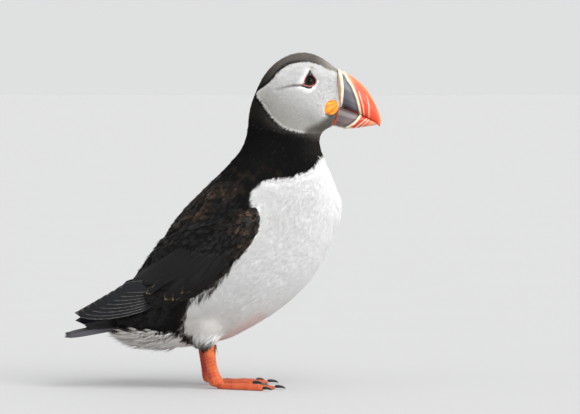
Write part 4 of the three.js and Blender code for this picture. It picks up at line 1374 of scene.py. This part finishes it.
lining = evened(copied_solids(["bill_upper", "bill_lower"], 0.25 * MM), 0.5 * MM)
lining_points = points_of(lining)
drawn_in = 0.9 + 1.4 * smooth(lining_points[:, 2], 198 * MM, 206 * MM)
lining_points = lining_points - normals_of(lining) * (drawn_in * MM)[:, None]
lining_points[:, 0] += np.maximum(80 * MM - lining_points[:, 0], 0) * 0.3
moved(lining, lining_points)
dressed(lining, ROSETTE_FLESH, MOUTH_RED)
finished(held(lining, "mouth_lining"), "gape_skin")

cere = even_copy(["bill_cere"], 0.3 * MM, 0.15 * MM, 30)
cere_points = points_of(cere)
low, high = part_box("bill_cere")
pebbles = mottle(cere_points, 0.9 * MM, 21)
height = np.clip((cere_points[:, 2] - low.z) / (high.z - low.z), 0, 1)
swollen = cere_points + normals_of(cere) * (0.09 * MM * pebbles - 0.25 * MM)[:, None]
ahead_share = smooth(cere_points[:, 0], low.x + 0.6 * MM, high.x - 0.6 * MM)
swollen[:, 0] += (1.6 * np.sin(math.pi * height) - 1.0) * MM * ahead_share
swollen[:, 0] -= 0.8 * MM * (1 - ahead_share)
front = smooth(ahead(swollen[:, 0], swollen[:, 2], CERE_LINE), -0.7 * MM, 0.3 * MM)
bead = band(ahead(swollen[:, 0], swollen[:, 2], CERE_LINE) - 0.7 * MM, 0.6 * MM, 0.5 * MM)
sunk = 0.25 * bead - 0.3 * (1 - front) - 0.45 * smooth(height, 0.78, 1.0)
swollen = swollen + normals_of(cere) * (sunk * MM)[:, None]
moved(cere, swollen)
# Painted shade: behind its line the cere is drawn tan, as its groove in shade, and bright cream in
# front.
cere_colours = blended(CERE_SHADE_TAN, CERE_RIM, front)
dressed(cere, CERE_WAX, cere_colours * (1 + 0.12 * pebbles)[:, None])
finished(held(cere, "cere"), "bill_cere", "bill_cere")

for side, sign in SIDES:
    node = "gape_rosette_" + side
    rosette = even_copy([node], ROSETTE_MESH, 0.2 * MM, 24)
    points = points_of(rosette)
    low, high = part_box(node)
    focus = (high.x + 1.5 * MM, high.z + 0.2 * MM)
    away = np.hypot(points[:, 0] - focus[0], points[:, 2] - focus[1]) / MM
    bearing = np.arctan2(focus[1] - points[:, 2], focus[0] - points[:, 0])
    folds = np.sin(bearing * 15 + away * 0.35 + 0.5 * mottle(points, 3 * MM, 22))
    moved(rosette, points + normals_of(rosette) * (0.15 * MM * folds)[:, None])
    # Painted shade: the orange is drawn deeper in the troughs of the folds; it also deepens near
    # the mouth's corner.
    deep = np.clip(-folds, 0, 1) * 0.8 + 0.7 * smooth(away, 3.6, 2.6)
    orange = blended(ROSETTE, ROSETTE_DEEP, deep)
    dressed(rosette, ROSETTE_FLESH, orange)
    finished(held(rosette, "rosette_" + side), "gape_skin", node)

# --- Eyes ----------------------------------------------------------------------------------------
# A dark brown eye in a red fleshy ring, a horny blue-grey plate above and below it, and a salmon
# lower lid. The ball sits deep in the head, and the ring lies on the skin.
EYE_RADIUS = 4.6 * MM
EYE_DEPTH = 3.0 * MM
EYE_CENTRE = (58.4, 205.0)
IRIS = ink(62, 60, 54)
PUPIL = ink(5, 4, 4)
LID_RED = ink(168, 26, 20)
LID_SALMON = ink(226, 128, 108)
PLATE = ink(34, 37, 42)


def eye_finish():
    """A wet eye: near-black pupil, streaked brown iris, all under a clear hard coat."""
    material, tree, shader = sheet_of_nodes("eye", 0.16, Specular_IOR_Level=0.08,
                                            Coat_Weight=0.16, Coat_Roughness=0.04)
    from_axis = stored(tree, "from_axis")
    spokes = worked(tree, "MULTIPLY_ADD", stored(tree, "round_axis"), 60.0,
                    grained(tree, 1800.0, 3.0))
    iris = dimmed(tree, tuple(IRIS), ranged(tree, worked(tree, "SINE", spokes), 0.7, 1.25,
                                            -1.0, 1.0))
    share = worked(tree, "MULTIPLY", ranged(tree, from_axis, 0.0, 1.0, 1.55, 1.75),
                   ranged(tree, from_axis, 1.0, 0.0, 2.7, 3.1))
    colour = placed(tree, "ShaderNodeMix", {0: share, 6: (*PUPIL, 1.0), 7: iris},
                    data_type="RGBA").outputs[2]
    wired(tree, shader, Base_Color=colour)
    return material


RIM_SIDES = 10
BALL_ROWS = 25
BALL_SIDES = 40
CORNEA_SWELL = 0.035


def shaped(shape, name):
    """The closed mesh of these faces, all pointing out."""
    bmesh.ops.recalc_face_normals(shape, faces=shape.faces)
    mesh = bpy.data.meshes.new(name)
    shape.to_mesh(mesh)
    shape.free()
    return mesh


def eyeball(heart, facing, aside, up, name):
    """A ball that swells a little in front, as a cornea does."""
    ball = bmesh.new()
    rows = []
    turns = [step / BALL_SIDES * 2 * math.pi for step in range(BALL_SIDES)]
    for row in range(1, BALL_ROWS):
        angle = row / BALL_ROWS * math.pi
        swell = 1 + CORNEA_SWELL * max(0, math.cos(angle)) ** 6
        rows.append([ball.verts.new(heart + (facing * math.cos(angle) * swell
                                             + (aside * math.cos(turn) + up * math.sin(turn))
                                             * math.sin(angle)) * EYE_RADIUS)
                     for turn in turns])
    front = ball.verts.new(heart + facing * EYE_RADIUS * (1 + CORNEA_SWELL))
    back = ball.verts.new(heart - facing * EYE_RADIUS)
    for step in range(BALL_SIDES):
        after = (step + 1) % BALL_SIDES
        ball.faces.new((front, rows[0][step], rows[0][after]))
        ball.faces.new((back, rows[-1][after], rows[-1][step]))
        for here, there in zip(rows, rows[1:]):
            ball.faces.new((here[step], there[step], there[after], here[after]))
    mesh = shaped(ball, name)
    offsets = points_of(mesh) - np.array(heart)
    across, high = offsets @ np.array(aside), offsets @ np.array(up)
    marked(mesh, "from_axis", np.hypot(across, high) / MM)
    marked(mesh, "round_axis", np.arctan2(high, across))
    mesh.materials.append(EYE_GLOSS)
    return held(mesh, name)


def swept(path, radii, heart, name, colours, finish):
    """A fleshy rim: a round section carried round a closed path of points."""
    shape = bmesh.new()
    loops = []
    for index, point in enumerate(path):
        run = (path[(index + 1) % len(path)] - path[index - 1]).normalized()
        aside = run.cross((point - heart).normalized()).normalized()
        out = aside.cross(run)
        angles = [turn / RIM_SIDES * 2 * math.pi for turn in range(RIM_SIDES)]
        loops.append([shape.verts.new(point + (aside * math.cos(angle) + out * math.sin(angle))
                                      * radii[index]) for angle in angles])
    for index, here in enumerate(loops):
        there = loops[(index + 1) % len(loops)]
        for turn in range(RIM_SIDES):
            after = (turn + 1) % RIM_SIDES
            shape.faces.new((here[turn], there[turn], there[after], here[after]))
    mesh = shaped(shape, name)
    dressed(mesh, finish, np.repeat(np.array(colours), RIM_SIDES, axis=0))
    return held(mesh, name)


EYE_GLOSS = eye_finish()
LID_FLESH = fleshy_finish("lid_flesh", 0.42, 2600.0, 0.0001)
PLATE_HORN = fleshy_finish("plate_horn", 0.4, 1300.0, 0.00012)
ROUND_THE_EYE = [(0, 0), (3, 0), (-3, 0), (0, 3), (0, -3)]


def seen_from(sign, x, z):
    """The place and normal where the coat's surface is met at a side-view spot of the head."""
    start = Vector((x * MM, sign * 60 * MM, z * MM))
    return coat_top.ray_cast(start, Vector((0, -sign, 0)))[:2]


for side, sign in SIDES:
    casts = [seen_from(sign, EYE_CENTRE[0] + across, EYE_CENTRE[1] + high)
             for across, high in ROUND_THE_EYE]
    facing = sum((cast[1] for cast in casts), Vector()).normalized()
    shown = facing * (EYE_RADIUS - EYE_DEPTH)
    heart = casts[0][0] - facing * EYE_DEPTH - Vector((shown.x, 0, shown.z))
    up = (Vector((0, 0, 1)) - facing * facing.z).normalized()
    aside = up.cross(facing).normalized()
    finished(eyeball(heart, facing, aside, up, "eyeball_" + side), "eyes", "eye_" + side)

    ring, radii, tones = [], [], []
    for step, (spot_x, spot_z) in enumerate(EYE_CURVE):
        hit = seen_from(sign, spot_x, spot_z + 0.4 * (spot_z < 203))[0]
        low_down = float(smooth(spot_z, 204.5, 201.5))
        ring.append(hit + facing * (0.05 + 0.1 * low_down) * MM)
        radii.append((0.22 + 0.13 * low_down + 0.02 * math.sin(step * 1.9)) * MM)
        tones.append(LID_RED + (LID_SALMON - LID_RED) * 0.6 * low_down
                     + LID_RED * 0.15 * math.sin(step * 2.3))
    rim = swept(ring, radii, casts[0][0], "eye_ring_" + side, tones, LID_FLESH)
    finished(rim, "gape_skin")

    for plate, grow in (("upper", 0.2 * MM), ("lower", 0.3 * MM)):
        node = f"eye_plate_{plate}_{side}"
        horn = even_copy([node], 0.16 * MM, grow, 10)
        points = points_of(horn)
        low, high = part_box(node)
        if plate == "upper":
            climb = (points[:, 2] - low.z) / (high.z - low.z)
            middle = (low.x + high.x) / 2
            points[:, 0] = middle + (points[:, 0] - middle) * (1.1 - 0.7 * climb) - 0.2 * MM
            points[:, 1] -= sign * 0.5 * MM * climb
        rough = mottle(points, 0.8 * MM, 31)
        moved(horn, points + normals_of(horn) * (0.05 * MM * rough)[:, None])
        dressed(horn, PLATE_HORN, PLATE * (1 + 0.25 * rough)[:, None])
        finished(held(horn, f"lid_plate_{plate}_{side}"), "eye_plates", node)

# --- Claws ---------------------------------------------------------------------------------------
# Three black curved claws of horn on each foot. Each is seated in the end of its toe, and its
# upward-facing top is painted paler as a highlight.
CLAW = ink(20, 18, 18)
# Painted highlight: the paler grey of the claws' upward faces.
CLAW_TOP_HIGHLIGHT = ink(98, 94, 92)
CLAW_HORN = fleshy_finish("claw_horn", 0.3, 900.0, 0.00008)
for side, _ in SIDES:
    nodes = [f"claw_{toe}_{side}" for toe in TOES]
    claws = even_copy(nodes, 0.22 * MM, 0.0, 14)
    points = points_of(claws)
    # Painted highlight: the faces that point up are drawn paler.
    ridge = smooth(normals_of(claws)[:, 2], 0.5, 0.95)
    moved(claws, points - normals_of(claws) * 0.12 * MM)
    dressed(claws, CLAW_HORN, blended(CLAW, CLAW_TOP_HIGHLIGHT, ridge * 0.8))
    finished(held(claws, "claws_" + side), "claws", *nodes)

# --- Floor, light and camera ---------------------------------------------------------------------
# A plain pale floor under soft studio light. The bird is seen from its right side, level with its
# breast, through a long lens.
FLOOR_HALF = 30.0
CAMERA_AIM = Vector((45 * MM, 0, 120.6 * MM))
CAMERA_DISTANCE = 3.24
CAMERA_RISE = math.radians(1.7)
floor_mesh = bpy.data.meshes.new("floor")
floor_mesh.from_pydata([(-FLOOR_HALF, -FLOOR_HALF, 0), (FLOOR_HALF, -FLOOR_HALF, 0),
                        (FLOOR_HALF, FLOOR_HALF, 0), (-FLOOR_HALF, FLOOR_HALF, 0)], [],
                       [(0, 1, 2, 3)])
floor_paint, tree, shader = sheet_of_nodes("floor_paint", 0.75)
shade = ranged(tree, grained(tree, 9.0, 3.0), 0.542, 0.556)
grey = placed(tree, "ShaderNodeCombineColor", {0: shade, 1: shade, 2: shade}).outputs[0]
wired(tree, shader, Base_Color=grey)
floor_mesh.materials.append(floor_paint)
floor = held(floor_mesh, "floor")

world = bpy.data.worlds.new("studio")
world.use_nodes = True
world.node_tree.nodes["Background"].inputs["Color"].default_value = (0.74, 0.745, 0.75, 1)
world.node_tree.nodes["Background"].inputs["Strength"].default_value = 1.0
scene = bpy.context.scene
scene.world = world
scene.view_settings.view_transform = "Standard"
for name, come_from, softness, strength in (("key", (0.6, -0.75, 0.75), 60, 3.0),
                                            ("fill", (-0.7, -0.9, 0.35), 80, 0.35)):
    light = bpy.data.lights.new(name, "SUN")
    light.angle = math.radians(softness)
    light.energy = strength
    lamp = bpy.data.objects.new(name, light)
    lamp.rotation_euler = (-Vector(come_from)).to_track_quat("-Z", "Y").to_euler()
    scene.collection.objects.link(lamp)

camera = bpy.data.objects.new("camera", bpy.data.cameras.new("camera"))
camera.data.lens = 300
camera.location = CAMERA_AIM + Vector((0, -math.cos(CAMERA_RISE), math.sin(CAMERA_RISE))) \
    * CAMERA_DISTANCE
camera.rotation_euler = (CAMERA_AIM - camera.location).to_track_quat("-Z", "Y").to_euler()
scene.collection.objects.link(camera)
scene.camera = camera
